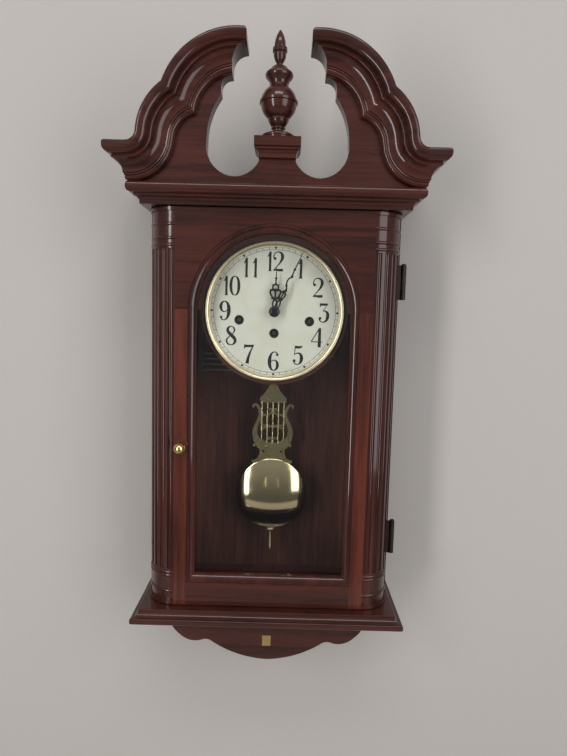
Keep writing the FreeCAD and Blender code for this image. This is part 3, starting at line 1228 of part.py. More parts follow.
# Chime
def make_chime():
    """Four rods in a block on the back panel, and hammers that hang from a bar behind the movement."""
    left = -s.chime_block_half
    low = -s.chime_drop - s.chime_pitch * (HAMMERS - 1) - s.chime_margin
    node(box("chime_block", left, s.back_thickness, low, s.chime_block_width, s.chime_block_depth,
             s.chime_pitch * (HAMMERS - 1) + s.chime_margin * 2))
    rods = []
    for index in range(HAMMERS):
        length = s.chime_rod_length - s.chime_rod_step * index
        rods.append(cylinder("chime_rod%d" % index, s.chime_rod, length, left + s.chime_block_width,
                             s.chime_depth, -s.chime_drop - s.chime_pitch * index, "x"))
    node(group("chime_rods", rods))
    first = -s.hammer_half
    axis_rise = -s.hammer_axis_drop
    last = first + s.hammer_pitch * (HAMMERS - 1)
    end = s.hammer_pitch / 2
    reach = back_plate_back - s.hammer_axis_depth + s.hammer_hub
    bar = cylinder("hammer_bar", s.hammer_arbor, last - first + end * 2 + s.hammer_cheek * 2,
                   first - end - s.hammer_cheek, s.hammer_axis_depth, axis_rise, "x")
    cheeks = []
    for name, x in (("left", first - end - s.hammer_cheek), ("right", last + end)):
        cheeks.append(box("hammer_cheek_" + name, x, s.hammer_axis_depth - s.hammer_hub,
                          axis_rise - s.hammer_hub, s.hammer_cheek, reach, s.hammer_hub * 2))
    node(fused("hammer_bracket", cheeks + [bar]))
    for index in range(HAMMERS):
        node(hammer(index, first + s.hammer_pitch * index, axis_rise))


def hammer(index, x, axis_rise):
    name = "hammer_%d" % (index + 1)
    rod_rise = -s.chime_drop - s.chime_pitch * index
    width = s.hammer_pitch - s.hammer_side_gap * 2
    head_back = s.chime_depth + s.chime_rod + s.hammer_gap
    hub = cylinder(name + "_hub", s.hammer_hub, width, x - width / 2, s.hammer_axis_depth, axis_rise, "x")
    thick = s.hammer_arm * 2
    arm_depth = head_back + s.hammer_head_length - thick
    shelf = box(name + "_shelf", x - thick / 2, arm_depth, axis_rise - thick / 2, thick,
                s.hammer_axis_depth - arm_depth, thick)
    arm = box(name + "_arm", x - thick / 2, arm_depth, rod_rise, thick, thick,
              axis_rise + thick / 2 - rod_rise)
    head = cylinder(name + "_head", s.hammer_head, s.hammer_head_length, x, head_back, rod_rise, "room")
    bore = cylinder(name + "_bore", s.hammer_arbor + s.running_clearance, width * 2, x - width,
                    s.hammer_axis_depth, axis_rise, "x")
    return combined("Cut", name, fused(name + "_blank", [hub, shelf, arm, head]), bore)


for make in (make_carcass, make_hanger, make_base, make_cornice, make_pediment_board, make_swan_necks,
             make_swan_returns, make_plinth, make_finial, make_apron, make_door_frame, make_glazing,
             make_columns, make_knob, make_hinges, make_catch, make_dial, make_plates, make_motion_work,
             make_hands, make_winding, make_escapement, make_suspension, make_pendulum, make_chime):
    make()
doc.recompute()

# Every object has to be sound before anything is written
for thing in doc.Objects:
    if "Invalid" in thing.State or "Error" in thing.State:
        raise RuntimeError("%s failed: %s" % (thing.Name, thing.State))
for made in NODES:
    if made.Shape.isNull() or not made.Shape.isValid():
        raise RuntimeError("%s has no sound shape" % made.Label)

os.makedirs("parts", exist_ok=True)
for made in NODES:
    made.Shape.exportStep("parts/%s.step" % made.Label)
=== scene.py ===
from math import asin, atan2, cos, hypot, pi, radians, sin, sqrt

import bmesh
import bpy
from bpy.props import FloatProperty, FloatVectorProperty, PointerProperty
from mathutils import Matrix, Vector
from mathutils.geometry import delaunay_2d_cdt


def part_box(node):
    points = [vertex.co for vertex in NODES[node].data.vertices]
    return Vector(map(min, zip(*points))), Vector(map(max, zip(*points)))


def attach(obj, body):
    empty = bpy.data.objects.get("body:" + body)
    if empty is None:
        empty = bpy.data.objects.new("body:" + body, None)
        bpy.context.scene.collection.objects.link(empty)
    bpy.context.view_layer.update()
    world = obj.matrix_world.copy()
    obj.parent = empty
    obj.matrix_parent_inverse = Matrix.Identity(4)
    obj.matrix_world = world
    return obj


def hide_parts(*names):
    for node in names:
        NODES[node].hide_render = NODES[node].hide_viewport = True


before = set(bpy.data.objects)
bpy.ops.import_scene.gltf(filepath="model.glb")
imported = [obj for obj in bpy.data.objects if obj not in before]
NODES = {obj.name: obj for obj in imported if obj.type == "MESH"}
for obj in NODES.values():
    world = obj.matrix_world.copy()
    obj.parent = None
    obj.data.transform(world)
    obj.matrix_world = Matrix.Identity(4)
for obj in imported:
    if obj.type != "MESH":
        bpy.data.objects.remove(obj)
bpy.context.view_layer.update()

bl_info = {
    "name": "Swan-neck wall clock",
    "version": (1, 0, 0),
    "blender": (4, 5, 0),
    "location": "3D View > Sidebar > Clock",
    "description": "Finishes and fine pieces of a chiming wall clock, built round its CAD frame",
    "category": "Object",
}

# In metres: one millimetre, the shortest edge that a cut piece keeps, and how near two points are one
MM = 0.001
SHORTEST_EDGE = 1e-6
SAME_POINT = 1e-7


def centre_of(node):
    low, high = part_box(node)
    return (low + high) / 2


DIAL_CENTRE = Vector((0.0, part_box("dial")[0].y, centre_of("dial").z))


# Settings
def colour(name, description, default):
    return FloatVectorProperty(name=name, description=description, default=default, size=3, subtype="COLOR",
                               min=0.0, max=1.0)


def length(name, description, default):
    return FloatProperty(name=name, description=description, default=default, unit="LENGTH", min=0.0)


def power(name, description, default):
    return FloatProperty(name=name, description=description, default=default, unit="POWER", min=0.0)


class ClockFinishes(bpy.types.PropertyGroup):
    """Colours of the woods, metals and paints."""
    case_dark: colour("Case wood, dark", "Dark streaks of the case wood", (0.0235, 0.0064, 0.0046))
    case_light: colour("Case wood, light", "Light bands of the case wood", (0.069, 0.0168, 0.0110))
    door_dark: colour("Door wood, dark", "Dark streaks of the door's stiles", (0.038, 0.0100, 0.0068))
    door_light: colour("Door wood, light", "Light bands of the door's stiles", (0.112, 0.0275, 0.0165))
    panel_dark: colour("Panel, dark", "Dark streaks of the back panel", (0.044, 0.0162, 0.0117))
    panel_light: colour("Panel, light", "Light bands of the back panel", (0.127, 0.044, 0.031))
    brass: colour("Brass", "Polished brass", (0.70, 0.52, 0.22))
    bob: colour("Bob", "Polished brass of the bob", (0.80, 0.68, 0.40))
    brass_tarnish: colour("Brass tarnish", "Brass where the lacquer has dulled", (0.40, 0.27, 0.09))
    bezel: colour("Bezel", "Pale satin brass of the dial's ring", (0.80, 0.70, 0.48))
    lyre: colour("Lyre", "Olive brass of the pendulum's lyre", (0.46, 0.41, 0.22))
    bronze: colour("Bronze", "Dark hinges and grommets", (0.030, 0.022, 0.018))
    steel: colour("Steel", "Arbors, rods and hanger", (0.42, 0.42, 0.43))
    dial: colour("Dial paint", "Cream paint of the dial", (0.675, 0.68, 0.585))
    ink: colour("Dial print", "Black print and hands", (0.0065, 0.0065, 0.0070))


class ClockDialSizes(bpy.types.PropertyGroup):
    """Sizes of the printed dial."""
    numeral_circle: length("Numeral circle", "Radius to the middle of the numerals", 0.0655)
    numeral_height: length("Numeral height", "Height of the numerals", 0.0255)
    track_inner: length("Track, inside", "Radius of the fine inner circle", 0.0806)
    track_outer: length("Track, outside", "Radius at which the minute marks end", 0.0841)
    hour_dot: length("Hour dot", "Radius of the bold dots at the hours", 0.0015)
    print_thickness: length("Print", "Thickness of the printed film", 0.00006)


class ClockStage(bpy.types.PropertyGroup):
    """Wall, floor, lights and camera."""
    wall: colour("Wall", "Paint of the wall", (0.48, 0.455, 0.435))
    floor: colour("Floor", "Pale grey floor", (0.42, 0.41, 0.40))
    lens: FloatProperty(name="Lens", description="Focal length", default=27.05, unit="CAMERA")
    key: power("Right light", "Broad soft light at the right", 20.0)
    fill: power("Left light", "Tall narrow light at the left", 22.0)
    top: power("Top light", "Soft light from above", 15.0)
    room: FloatProperty(name="Room light", description="Light of the room, brightest overhead", default=0.32)


# Materials, with grain drawn out along the axes that have a small scale
EVEN = (1.0, 1.0, 1.0)
ALONG_X = (0.05, 1.0, 1.0)
ALONG_Z = (1.0, 1.0, 0.05)
ALONG_LEVEL = (0.05, 0.05, 1.0)
BRUSHED_X = (0.1, 1.0, 1.0)
BRUSHED_Y = (1.0, 0.1, 1.0)
BRUSHED_Z = (1.0, 1.0, 0.1)
# How many of a finish's marks there are to the metre, across the grain
BANDS, STREAKS, PORES, CLOUDS, LACQUER_WAVES = 42.0, 240.0, 1500.0, 7.0, 55.0
DULL_PATCHES, BRUSH_LINES, RUBBED_PATCHES, TOOL_LINES = 60.0, 900.0, 140.0, 700.0
MOTTLE, PAINT_GRAIN, INK_GRAIN, SMEARS, WALL_PATCHES = 45.0, 900.0, 500.0, 18.0, 3.0
EASED_EDGE = 0.9 * MM
CAST_IRON = (0.030, 0.030, 0.031)
BROWN_PLASTIC = (0.022, 0.017, 0.014)
AGED_CREAM = (0.95, 0.94, 0.88)
GLASS_TINT = (0.975, 0.98, 0.977, 1.0)
# Share of light that glass mirrors when seen square on
GLASS_MIRROR = 0.04


def sum_step(operation, reflected=False):
    """An operator of Value, which adds one Math node."""
    def step(self, other):
        first, second = (other, self) if reflected else (self, other)
        return self.finish.add("ShaderNodeMath", {0: first, 1: second}, operation=operation)
    return step


class Value:
    """A shader socket that can stand in a sum."""

    def __init__(self, finish, socket):
        self.finish = finish
        self.socket = socket

    __add__, __radd__ = sum_step("ADD"), sum_step("ADD", True)
    __sub__, __rsub__ = sum_step("SUBTRACT"), sum_step("SUBTRACT", True)
    __mul__, __rmul__ = sum_step("MULTIPLY"), sum_step("MULTIPLY", True)
    __pow__, __rpow__ = sum_step("POWER"), sum_step("POWER", True)


class Finish:
    """A material, or the world, whose nodes are written as expressions."""

    def __init__(self, name, kind="materials"):
        self.owner = getattr(bpy.data, kind).new(name)
        self.owner.use_nodes = True
        self.tree = self.owner.node_tree
        self.tree.nodes.clear()

    def add(self, kind, sockets=None, output=0, **settings):
        """A new node: its settings are set first, then the values or links of its sockets."""
        node = self.tree.nodes.new(kind)
        for name, setting in settings.items():
            setattr(node, name, setting)
        for name, value in (sockets or {}).items():
            if isinstance(value, Value):
                self.tree.links.new(value.socket, node.inputs[name])
            else:
                node.inputs[name].default_value = value
        return Value(self, node.outputs[output] if node.outputs else None)

    def place(self, scale=EVEN):
        """Where a point is on its own piece, drawn out along the grain."""
        here = self.add("ShaderNodeTexCoord", output="Object")
        return self.add("ShaderNodeMapping", {"Vector": here, "Scale": scale}, vector_type="POINT")

    def noise(self, place, scale, detail=2.0, roughness=0.5, distortion=0.0):
        return self.add("ShaderNodeTexNoise", {"Vector": place, "Scale": scale, "Detail": detail,
                                               "Roughness": roughness, "Distortion": distortion})

    def between(self, value, low, high):
        """0 below low, 1 above high, and a smooth change between."""
        return self.add("ShaderNodeMapRange", {"Value": value, "From Min": low, "From Max": high},
                        interpolation_type="SMOOTHSTEP")

    def mixed(self, share, first, second):
        first, second = (tint if isinstance(tint, Value) else (*tint, 1.0) for tint in (first, second))
        return self.add("ShaderNodeMix", {0: share, 6: first, 7: second}, 2, data_type="RGBA")

    def bump(self, height, strength, distance, **over):
        """Unevenness laid over the surface, or over another Normal."""
        sockets = {"Height": height, "Strength": strength, "Distance": distance, **over}
        return self.add("ShaderNodeBump", sockets)

    def painted(self, **sockets):
        """Ends the tree with one Principled shader; a socket's name has _ for a space."""
        named = {name.replace("_", " "): value for name, value in sockets.items()}
        return self.shown(self.add("ShaderNodeBsdfPrincipled", named))

    def shown(self, shader, output="ShaderNodeOutputMaterial"):
        """Ends the tree with its output."""
        self.add(output, {"Surface": shader})
        return self.owner


def toned(tint, share):
    return tuple(channel * share for channel in tint)


def lacquered_wood(name, dark, light, grain, rough=0.26, coat=0.70):
    """Stained hardwood under satin lacquer: broad bands, fine streaks, short open pores and eased edges."""
    wood = Finish(name)
    place = wood.place(grain)
    bands = wood.noise(place, BANDS, 3.0, 0.55, 0.6)
    streaks = wood.noise(place, STREAKS, 5.0, 0.62)
    pores = wood.between(wood.noise(place, PORES), 0.60, 0.70)
    clouds = wood.noise(wood.place(), CLOUDS)
    tone = bands * 0.50 + streaks * 0.36 + clouds * 0.20
    shade = wood.mixed(wood.between(tone, 0.38, 0.68), dark, light)
    stained = wood.mixed(pores * 0.55, shade, toned(dark, 0.45))
    skin = wood.noise(wood.place(), LACQUER_WAVES)
    edges = wood.add("ShaderNodeBevel", {"Radius": EASED_EDGE}, samples=6)
    normal = wood.bump(streaks * 0.35 - pores * 0.5 + skin * 0.5, 0.10, 0.6 * MM, Normal=edges)
    return wood.painted(Base_Color=stained, Roughness=rough + streaks * 0.10 + skin * 0.06 + pores * 0.10,
                        Specular_IOR_Level=0.12, Coat_Weight=coat, Coat_Roughness=0.09, Normal=normal)


def brass(name, bright, dull, rough, age, brushed=EVEN):
    """Lacquered brass with faint brushing and dull patches."""
    metal = Finish(name)
    patches = metal.between(metal.noise(metal.place(), DULL_PATCHES, 4.0, 0.6), 0.48, 0.78)
    lines = metal.noise(metal.place(brushed), BRUSH_LINES, 3.0, 0.6)
    tint = metal.mixed(patches * age + lines * (age * 0.25), bright, dull)
    return metal.painted(Base_Color=tint, Metallic=1.0, Roughness=rough + lines * 0.06 + patches * 0.08,
                         Normal=metal.bump(lines, 0.04, 0.2 * MM))


def plain_metal(name, tint, rough, metallic, brushed=EVEN):
    """Painted, bronzed or bare metal with slight wear."""
    metal = Finish(name)
    rubbed = metal.between(metal.noise(metal.place(), RUBBED_PATCHES, 4.0, 0.6), 0.50, 0.75)
    lines = metal.noise(metal.place(brushed), TOOL_LINES, 3.0, 0.6)
    return metal.painted(Base_Color=metal.mixed(rubbed * 0.5, tint, toned(tint, 1.7)), Metallic=metallic,
                         Roughness=rough + lines * 0.12, Normal=metal.bump(lines, 0.05, 0.3 * MM))


def dial_paint(name, cream):
    """Satin paint with a faint mottle, a shade warmer where it has aged."""
    paint = Finish(name)
    mottle = paint.noise(paint.place(), MOTTLE, 3.0)
    fine = paint.noise(paint.place(), PAINT_GRAIN)
    aged = tuple(channel * share for channel, share in zip(cream, AGED_CREAM))
    return paint.painted(Base_Color=paint.mixed(paint.between(mottle, 0.40, 0.70), cream, aged),
                         Roughness=0.42 + fine * 0.12, Normal=paint.bump(fine, 0.05, 0.1 * MM))


def ink(name, black, rough=0.45):
    """Black print or enamel with a faint unevenness."""
    film = Finish(name)
    fine = film.noise(film.place(), INK_GRAIN, 3.0)
    return film.painted(Base_Color=film.mixed(fine, black, toned(black, 2.2)), Roughness=rough + fine * 0.15,
                        Specular_IOR_Level=0.3)


def window_glass(name):
    """Clear glass: it passes light straight through, mirrors more at a slant, and has a trace of haze."""
    glass = Finish(name)
    slant = glass.add("ShaderNodeLayerWeight", {"Blend": 0.5}, "Facing")
    smear = glass.noise(glass.place((1.0, 1.0, 0.4)), SMEARS, 3.0)
    through = glass.add("ShaderNodeBsdfTransparent", {"Color": GLASS_TINT})
    gloss = glass.add("ShaderNodeBsdfGlossy", {"Color": (1.0, 1.0, 1.0, 1.0), "Roughness": 0.03})
    share = (GLASS_MIRROR + (1 - GLASS_MIRROR) * slant ** 5.0) * (0.85 + smear * 0.3)
    return glass.shown(glass.add("ShaderNodeMixShader", {0: share, 1: through, 2: gloss}))


def wear(nodes, material):
    for node in nodes:
        mesh = NODES[node].data
        mesh.materials.clear()
        mesh.materials.append(material)


# Shapes
def on_circle(x, y, radius, angle):
    return x + radius * cos(angle), y + radius * sin(angle)


def nearby(points, index, closed):
    """A point by its index, which runs round a closed line and stops at the ends of an open one."""
    return points[index % len(points) if closed else min(max(index, 0), len(points) - 1)]


def smooth_path(points, closed, steps):
    """Points (x, y, half width) on a smooth line through the given ones."""
    found = []
    for index in range(len(points) if closed else len(points) - 1):
        near = [nearby(points, index + shift, closed) for shift in (-1, 0, 1, 2)]
        for step in range(steps):
            t = step / steps
            weights = (-0.5 * t + t * t - 0.5 * t ** 3, 1 - 2.5 * t * t + 1.5 * t ** 3,
                       0.5 * t + 2 * t * t - 1.5 * t ** 3, -0.5 * t * t + 0.5 * t ** 3)
            found.append(tuple(sum(w * p[axis] for w, p in zip(weights, near)) for axis in range(3)))
    return found if closed else found + [points[-1]]


def stroke(points, closed=False, steps=6):
    """Triangles of a band that follows a smooth line and swells with its half widths."""
    line = smooth_path(points, closed, steps)
    edges = []
    for index, (x, y, half) in enumerate(line):
        before, after = (nearby(line, index + shift, closed) for shift in (-1, 1))
        along = Vector((after[0] - before[0], after[1] - before[1])).normalized()
        side = Vector((-along.y, along.x)) * half
        edges.append((Vector((x, y)) + side, Vector((x, y)) - side))
    pairs = zip(edges, edges[1:] + edges[:1]) if closed else zip(edges, edges[1:])
    return [corners for here, after in pairs
            for corners in ([here[1], after[1], after[0]], [here[1], after[0], here[0]])]


def strokes(lines):
    return [part for line in lines for part in stroke(line)]


def disc(x, y, radius, sides=28):
    return [Vector(on_circle(x, y, radius, 2 * pi * index / sides)) for index in range(sides)]


def both_sides(loops):
    return loops + [[Vector((-point[0], point[1])) for point in reversed(loop)] for loop in loops]


def turned(loops, angle):
    """The loops turned clockwise round the dial centre by an angle in radians."""
    turn = Matrix.Rotation(-angle, 2)
    return [[turn @ Vector(point[:2]) for point in loop] for loop in loops]


def counter_clockwise(loop):
    area = sum(a[0] * b[1] - b[0] * a[1] for a, b in zip(loop, loop[1:] + loop[:1]))
    return loop if area > 0 else list(reversed(loop))


# The Delaunay cut: it keeps what lies inside the loops, and joins points this near, in mm
INSIDE_ONLY = 1
CUT_TOLERANCE = 1e-4


def cut_sheet(shape, outlines, cutouts, back, front):
    """Adds a flat piece to a bmesh: outlines joined, less the cutouts, in mm round the dial centre."""
    points = []
    faces = []
    for loop in [*outlines, *cutouts]:
        faces.append(list(range(len(points), len(points) + len(loop))))
        points += counter_clockwise([Vector(point[:2]) for point in loop])
    corners, _, cells, _, _, owners = delaunay_2d_cdt(points, [], faces, INSIDE_ONLY, CUT_TOLERANCE)
    verts = [shape.verts.new((x * MM, back, DIAL_CENTRE.z + y * MM)) for x, y in corners]
    made = [shape.faces.new([verts[index] for index in cell]) for cell, owner in zip(cells, owners)
            if owner and max(owner) < len(outlines)]
    bmesh.ops.delete(shape, geom=[vert for vert in verts if not vert.link_faces], context="VERTS")
    raised = bmesh.ops.extrude_face_region(shape, geom=made)["geom"]
    lifted = [item for item in raised if isinstance(item, bmesh.types.BMVert)]
    bmesh.ops.translate(shape, vec=(0.0, front - back, 0.0), verts=lifted)
    bmesh.ops.dissolve_degenerate(shape, dist=SHORTEST_EDGE, edges=shape.edges[:])
    bmesh.ops.recalc_face_normals(shape, faces=shape.faces[:])


def strip(shape, row, after):
    for here, there in zip(zip(row, row[1:]), zip(after, after[1:])):
        shape.faces.new((here[0], here[1], there[1], there[0]))


def strips(shape, rows):
    for row, after in zip(rows, rows[1:]):
        strip(shape, row, after)


KNURLED_PART = 0.97


def lathe(shape, profile, axis_point, axis="Z", sides=48, ridges=0, ridge=0.0, hollow=False):
    """Adds a turned form to a bmesh from (radius, along) pairs in metres.

    Ridges knurl its widest part; a hollow form is a ring whose profile closes on itself.
    """
    widest = max(radius for radius, _ in profile)
    rings = []
    for radius, along in profile:
        ring = []
        for index in range(sides):
            angle = 2 * pi * index / sides
            reach = radius
            if ridges and radius > widest * KNURLED_PART:
                reach -= ridge * (0.5 + 0.5 * cos(angle * ridges))
            x, y = on_circle(0.0, 0.0, reach, angle)
            offset = (x, y, along) if axis == "Z" else (x, -along, y)
            ring.append(shape.verts.new(axis_point + Vector(offset)))
        rings.append(ring)
    for low, high in zip(rings, rings[1:] + rings[:1] if hollow else rings[1:]):
        strip(shape, low + low[:1], high + high[:1])
    if not hollow:
        shape.faces.new(list(reversed(rings[0])))
        shape.faces.new(rings[-1])
    bmesh.ops.recalc_face_normals(shape, faces=shape.faces[:])


# Angles in degrees beyond which an edge stays sharp
CUT_EDGE, MOULDED_EDGE, PLAIN_EDGE, TURNED_EDGE, DOMED_EDGE = 15.0, 32.0, 40.0, 50.0, 60.0


def in_scene(name, data):
    """A new object, linked to the scene."""
    made = bpy.data.objects.new(name, data)
    bpy.context.scene.collection.objects.link(made)
    return made


def finished_piece(name, shape, body, material, edge, stands_for=None):
    """Turns a bmesh into a piece that rides on a body and takes the place of a CAD node."""
    mesh = bpy.data.meshes.new(name)
    shape.to_mesh(mesh)
    shape.free()
    mesh.materials.append(material)
    mesh.shade_smooth()
    mesh.set_sharp_from_angle(angle=radians(edge))
    piece = in_scene(name, mesh)
    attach(piece, body)
    if stands_for:
        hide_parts(stands_for)


# Printed figures in mm: width, smooth lines of (x, y, half width), balls and plates, from a base line at 0
FIGURE_HEIGHT = 25.5
FIGURE_WEIGHT = 1.18
FIGURE_SPACING = 1.7
CLOSED_FIGURES = "08"
# Minute track in mm: half widths of its lines and bars, and how far out the hour dots are from its middle
INNER_LINE, OUTER_LINE = 0.22, 0.14
MINUTE_BAR = 0.26
DOT_SHIFT = 0.7
FIGURES = {
    "0": (14.8, [[(7.4, 25.0, 0.5), (3.6, 22.0, 1.2), (2.1, 12.7, 1.65), (3.6, 3.5, 1.2), (7.4, 0.5, 0.5),
                  (11.2, 3.5, 1.2), (12.7, 12.7, 1.65), (11.2, 22.0, 1.2)]], [], []),
    "1": (10.2, [[(8.3, 25.4, 0.9), (8.3, 22.0, 1.3), (8.2, 8.0, 1.3), (8.2, 0.0, 1.4)],
                 [(4.7, 18.4, 0.35), (6.2, 20.2, 0.7), (7.4, 22.4, 0.9), (8.2, 25.2, 0.8)],
                 [(5.9, 0.35, 0.3), (8.2, 0.6, 0.5), (10.5, 0.35, 0.3)]], [], []),
    "2": (14.2, [[(2.6, 15.6, 0.7), (1.1, 17.4, 0.7), (1.2, 20.8, 0.55), (3.6, 24.2, 0.55),
                  (7.0, 25.0, 0.65), (10.8, 23.4, 1.2), (12.4, 19.4, 1.75), (11.5, 15.0, 1.45),
                  (8.4, 10.0, 0.8), (4.2, 5.2, 0.5), (0.9, 1.4, 0.45)],
                 [(0.4, 0.7, 0.3), (4.0, 1.9, 1.1), (8.0, 1.6, 1.4), (13.4, 1.8, 1.5)]],
          [(2.6, 16.4, 1.9)], []),
    "3": (14.2, [[(6.2, 15.2, 0.45), (9.4, 15.2, 0.8), (12.3, 12.2, 1.55), (12.5, 7.4, 1.75),
                  (10.6, 2.6, 1.25), (6.9, 0.7, 0.6), (3.2, 1.7, 0.6), (1.5, 4.6, 0.7)]],
          [(2.5, 5.6, 1.9)],
          [[(1.7, 25.3), (1.9, 20.2), (2.6, 20.2), (3.2, 22.2), (11.4, 22.4), (13.2, 25.3)],
           [(12.2, 24.4), (13.2, 25.3), (6.6, 15.0), (5.6, 15.4)]]),
    "4": (15.0, [[(11.3, 25.4, 1.5), (11.2, 14.0, 1.65), (11.1, 0.0, 1.75)],
                 [(10.6, 24.8, 0.6), (5.6, 16.2, 0.5), (0.4, 7.4, 0.5)],
                 [(0.2, 7.2, 0.5), (7.5, 7.2, 0.5), (14.9, 7.2, 0.5)]], [], []),
    "5": (14.0, [[(2.9, 13.4, 0.45), (6.2, 15.5, 0.65), (10.4, 14.4, 1.25), (12.2, 9.4, 1.95),
                  (11.2, 3.9, 1.5), (8.2, 0.8, 0.65), (4.2, 1.1, 0.6), (1.7, 4.2, 0.7)],
                 [(3.5, 24.2, 0.5), (3.1, 18.0, 0.45), (2.8, 13.2, 0.45)]],
          [(2.6, 5.3, 1.9)],
          [[(3.0, 25.3), (3.2, 21.9), (8.5, 21.6), (11.8, 22.6), (13.4, 25.6), (10.0, 24.9)]]),
    "6": (14.2, [[(12.5, 22.0, 0.7), (10.6, 24.5, 0.6), (7.6, 25.0, 0.6), (4.0, 22.2, 1.15),
                  (1.95, 15.5, 1.9), (2.05, 8.0, 1.9), (4.2, 2.3, 1.15), (7.5, 0.6, 0.6), (10.9, 2.4, 1.2),
                  (12.5, 7.0, 1.7), (11.5, 11.8, 1.2), (8.6, 14.2, 0.6), (5.2, 13.2, 0.5),
                  (3.0, 10.2, 0.45)]],
          [(11.9, 21.4, 1.75)], []),
    "7": (14.0, [[(12.9, 24.4, 0.6), (9.6, 17.6, 0.85), (6.6, 9.6, 1.4), (4.6, 0.0, 1.95)]], [],
          [[(0.4, 25.6), (0.0, 19.4), (0.8, 19.4), (2.2, 21.7), (12.4, 21.9), (13.9, 25.4), (6.0, 25.0)]]),
    "8": (14.6, [[(7.3, 25.0, 0.5), (3.9, 23.2, 1.15), (2.7, 20.0, 1.55), (4.5, 16.4, 1.8), (8.3, 12.9, 1.9),
                  (11.9, 9.0, 1.8), (12.9, 5.2, 1.5), (10.7, 1.7, 0.95), (7.3, 0.5, 0.5), (3.4, 1.8, 0.85),
                  (1.5, 5.2, 0.95), (2.7, 9.0, 0.75), (6.6, 12.8, 0.5), (10.5, 16.5, 0.6),
                  (11.8, 20.2, 0.9), (10.6, 23.4, 0.75)]], [], []),
}


def figure(digit):
    """Width and loops of one printed figure; the nine is the six stood on its head."""
    if digit == "9":
        width, loops = figure("6")
        return width, [[Vector((width - p[0], FIGURE_HEIGHT - p[1])) for p in loop] for loop in loops]
    width, lines, balls, plates = FIGURES[digit]
    loops = []
    for points in lines:
        loops += stroke([(x, y, half * FIGURE_WEIGHT) for x, y, half in points], digit in CLOSED_FIGURES)
    return width, loops + [disc(*ball) for ball in balls] + plates


def numeral(hour, sizes):
    """Loops of each figure of an hour, in its place on the dial."""
    digits = []
    start = 0.0
    for width, loops in (figure(digit) for digit in str(hour)):
        digits.append([[(p[0] + start, p[1]) for p in loop] for loop in loops])
        start += width + FIGURE_SPACING
    reach = [p[0] for loops in digits for loop in loops for p in loop]
    middle = (min(reach) + max(reach)) / 2
    ratio = sizes.numeral_height / MM / FIGURE_HEIGHT
    angle = radians(30 * hour)
    x = sin(angle) * sizes.numeral_circle / MM
    y = cos(angle) * sizes.numeral_circle / MM
    return [[[((p[0] - middle) * ratio + x, (p[1] - FIGURE_HEIGHT / 2) * ratio + y) for p in loop]
             for loop in loops] for loops in digits]


def minute_track(sizes):
    """Loops of two fine circles, the bars of the minutes and the dots of the hours."""
    inner, outer = sizes.track_inner / MM, sizes.track_outer / MM
    marks = []
    for radius, half in ((inner, INNER_LINE), (outer, OUTER_LINE)):
        circle = [(*on_circle(0.0, 0.0, radius, radians(a)), half) for a in range(0, 360, 6)]
        marks += stroke(circle, True, 3)
    bar = [(-MINUTE_BAR, inner), (MINUTE_BAR, inner), (MINUTE_BAR, outer), (-MINUTE_BAR, outer)]
    for minute in range(60):
        if minute % 5:
            marks += turned([bar], radians(6 * minute))
    middle = (inner + outer) / 2 + DOT_SHIFT
    for hour in range(12):
        angle = radians(30 * hour)
        marks.append(disc(middle * sin(angle), middle * cos(angle), sizes.hour_dot / MM))
    return marks


class CLOCK_OT_dial_print(bpy.types.Operator):
    """Prints the hours, the minute track and the hour dots on the dial"""
    bl_idname = "clock.dial_print"
    bl_label = "Print the dial"

    def execute(self, context):
        sizes = context.scene.clock_dial
        black = ink("printed black", context.scene.clock_finishes.ink)
        front = DIAL_CENTRE.y - sizes.print_thickness
        numerals = bmesh.new()
        for hour in range(1, 13):
            for loops in numeral(hour, sizes):
                cut_sheet(numerals, loops, [], DIAL_CENTRE.y, front)
        finished_piece("dial_numerals", numerals, "case", black, PLAIN_EDGE)
        track = bmesh.new()
        cut_sheet(track, minute_track(sizes), [], DIAL_CENTRE.y, front)
        finished_piece("dial_minute_track", track, "case", black, PLAIN_EDGE)
        return {"FINISHED"}


# Hands at twelve, in mm: lines of one half, lines on the middle, plates, knobs and the hour hand's ring
HOUR_HAND_LINES = [
    [(1.5, 5.5, 0.95), (2.7, 8.6, 1.0), (2.7, 11.6, 1.0), (1.0, 15.4, 1.3)],
    [(0.0, 16.2, 1.4), (3.2, 17.0, 1.1), (5.6, 17.4, 0.4)],
    [(0.9, 16.4, 1.2), (4.0, 19.2, 1.1), (6.2, 22.8, 1.2), (6.7, 26.0, 1.25), (4.8, 28.3, 1.3),
     (2.4, 27.6, 1.1), (0.4, 26.4, 1.0)],
    [(5.6, 27.6, 1.2), (7.6, 28.6, 0.35)],
    [(2.2, 34.0, 1.1), (5.4, 35.4, 0.4)],
]
HOUR_HAND_MIDDLE = [
    [(0.0, 15.6, 1.6), (0.0, 21.0, 1.1), (0.0, 28.6, 1.4)],
    [(0.0, 34.6, 1.9), (0.0, 37.6, 1.05), (0.0, 43.0, 0.9)],
    [(0.0, 43.0, 0.8), (0.0, 51.0, 0.55), (0.0, 58.0, 0.3)],
]
HOUR_HAND_PLATES = [[(0.0, 40.9), (2.0, 43.3), (0.0, 45.8), (-2.0, 43.3)]]
HOUR_HAND_KNOBS = [(0.0, 16.2, 2.1), (0.0, 28.4, 1.9)]
HOUR_HAND_RING = (31.4, 3.7, 1.05)
MINUTE_HAND_LINES = [
    [(1.3, 5.5, 0.9), (2.3, 8.8, 0.95), (2.2, 12.2, 0.95), (0.8, 16.0, 1.2)],
    [(0.0, 16.8, 1.3), (2.0, 17.6, 0.9), (3.6, 18.4, 0.35)],
    [(0.8, 17.0, 1.1), (2.4, 20.0, 1.0), (3.2, 23.2, 1.05), (3.1, 26.0, 1.15), (1.4, 28.2, 1.2),
     (0.2, 29.0, 1.2)],
    [(2.8, 25.6, 1.0), (5.0, 26.9, 0.4)],
]
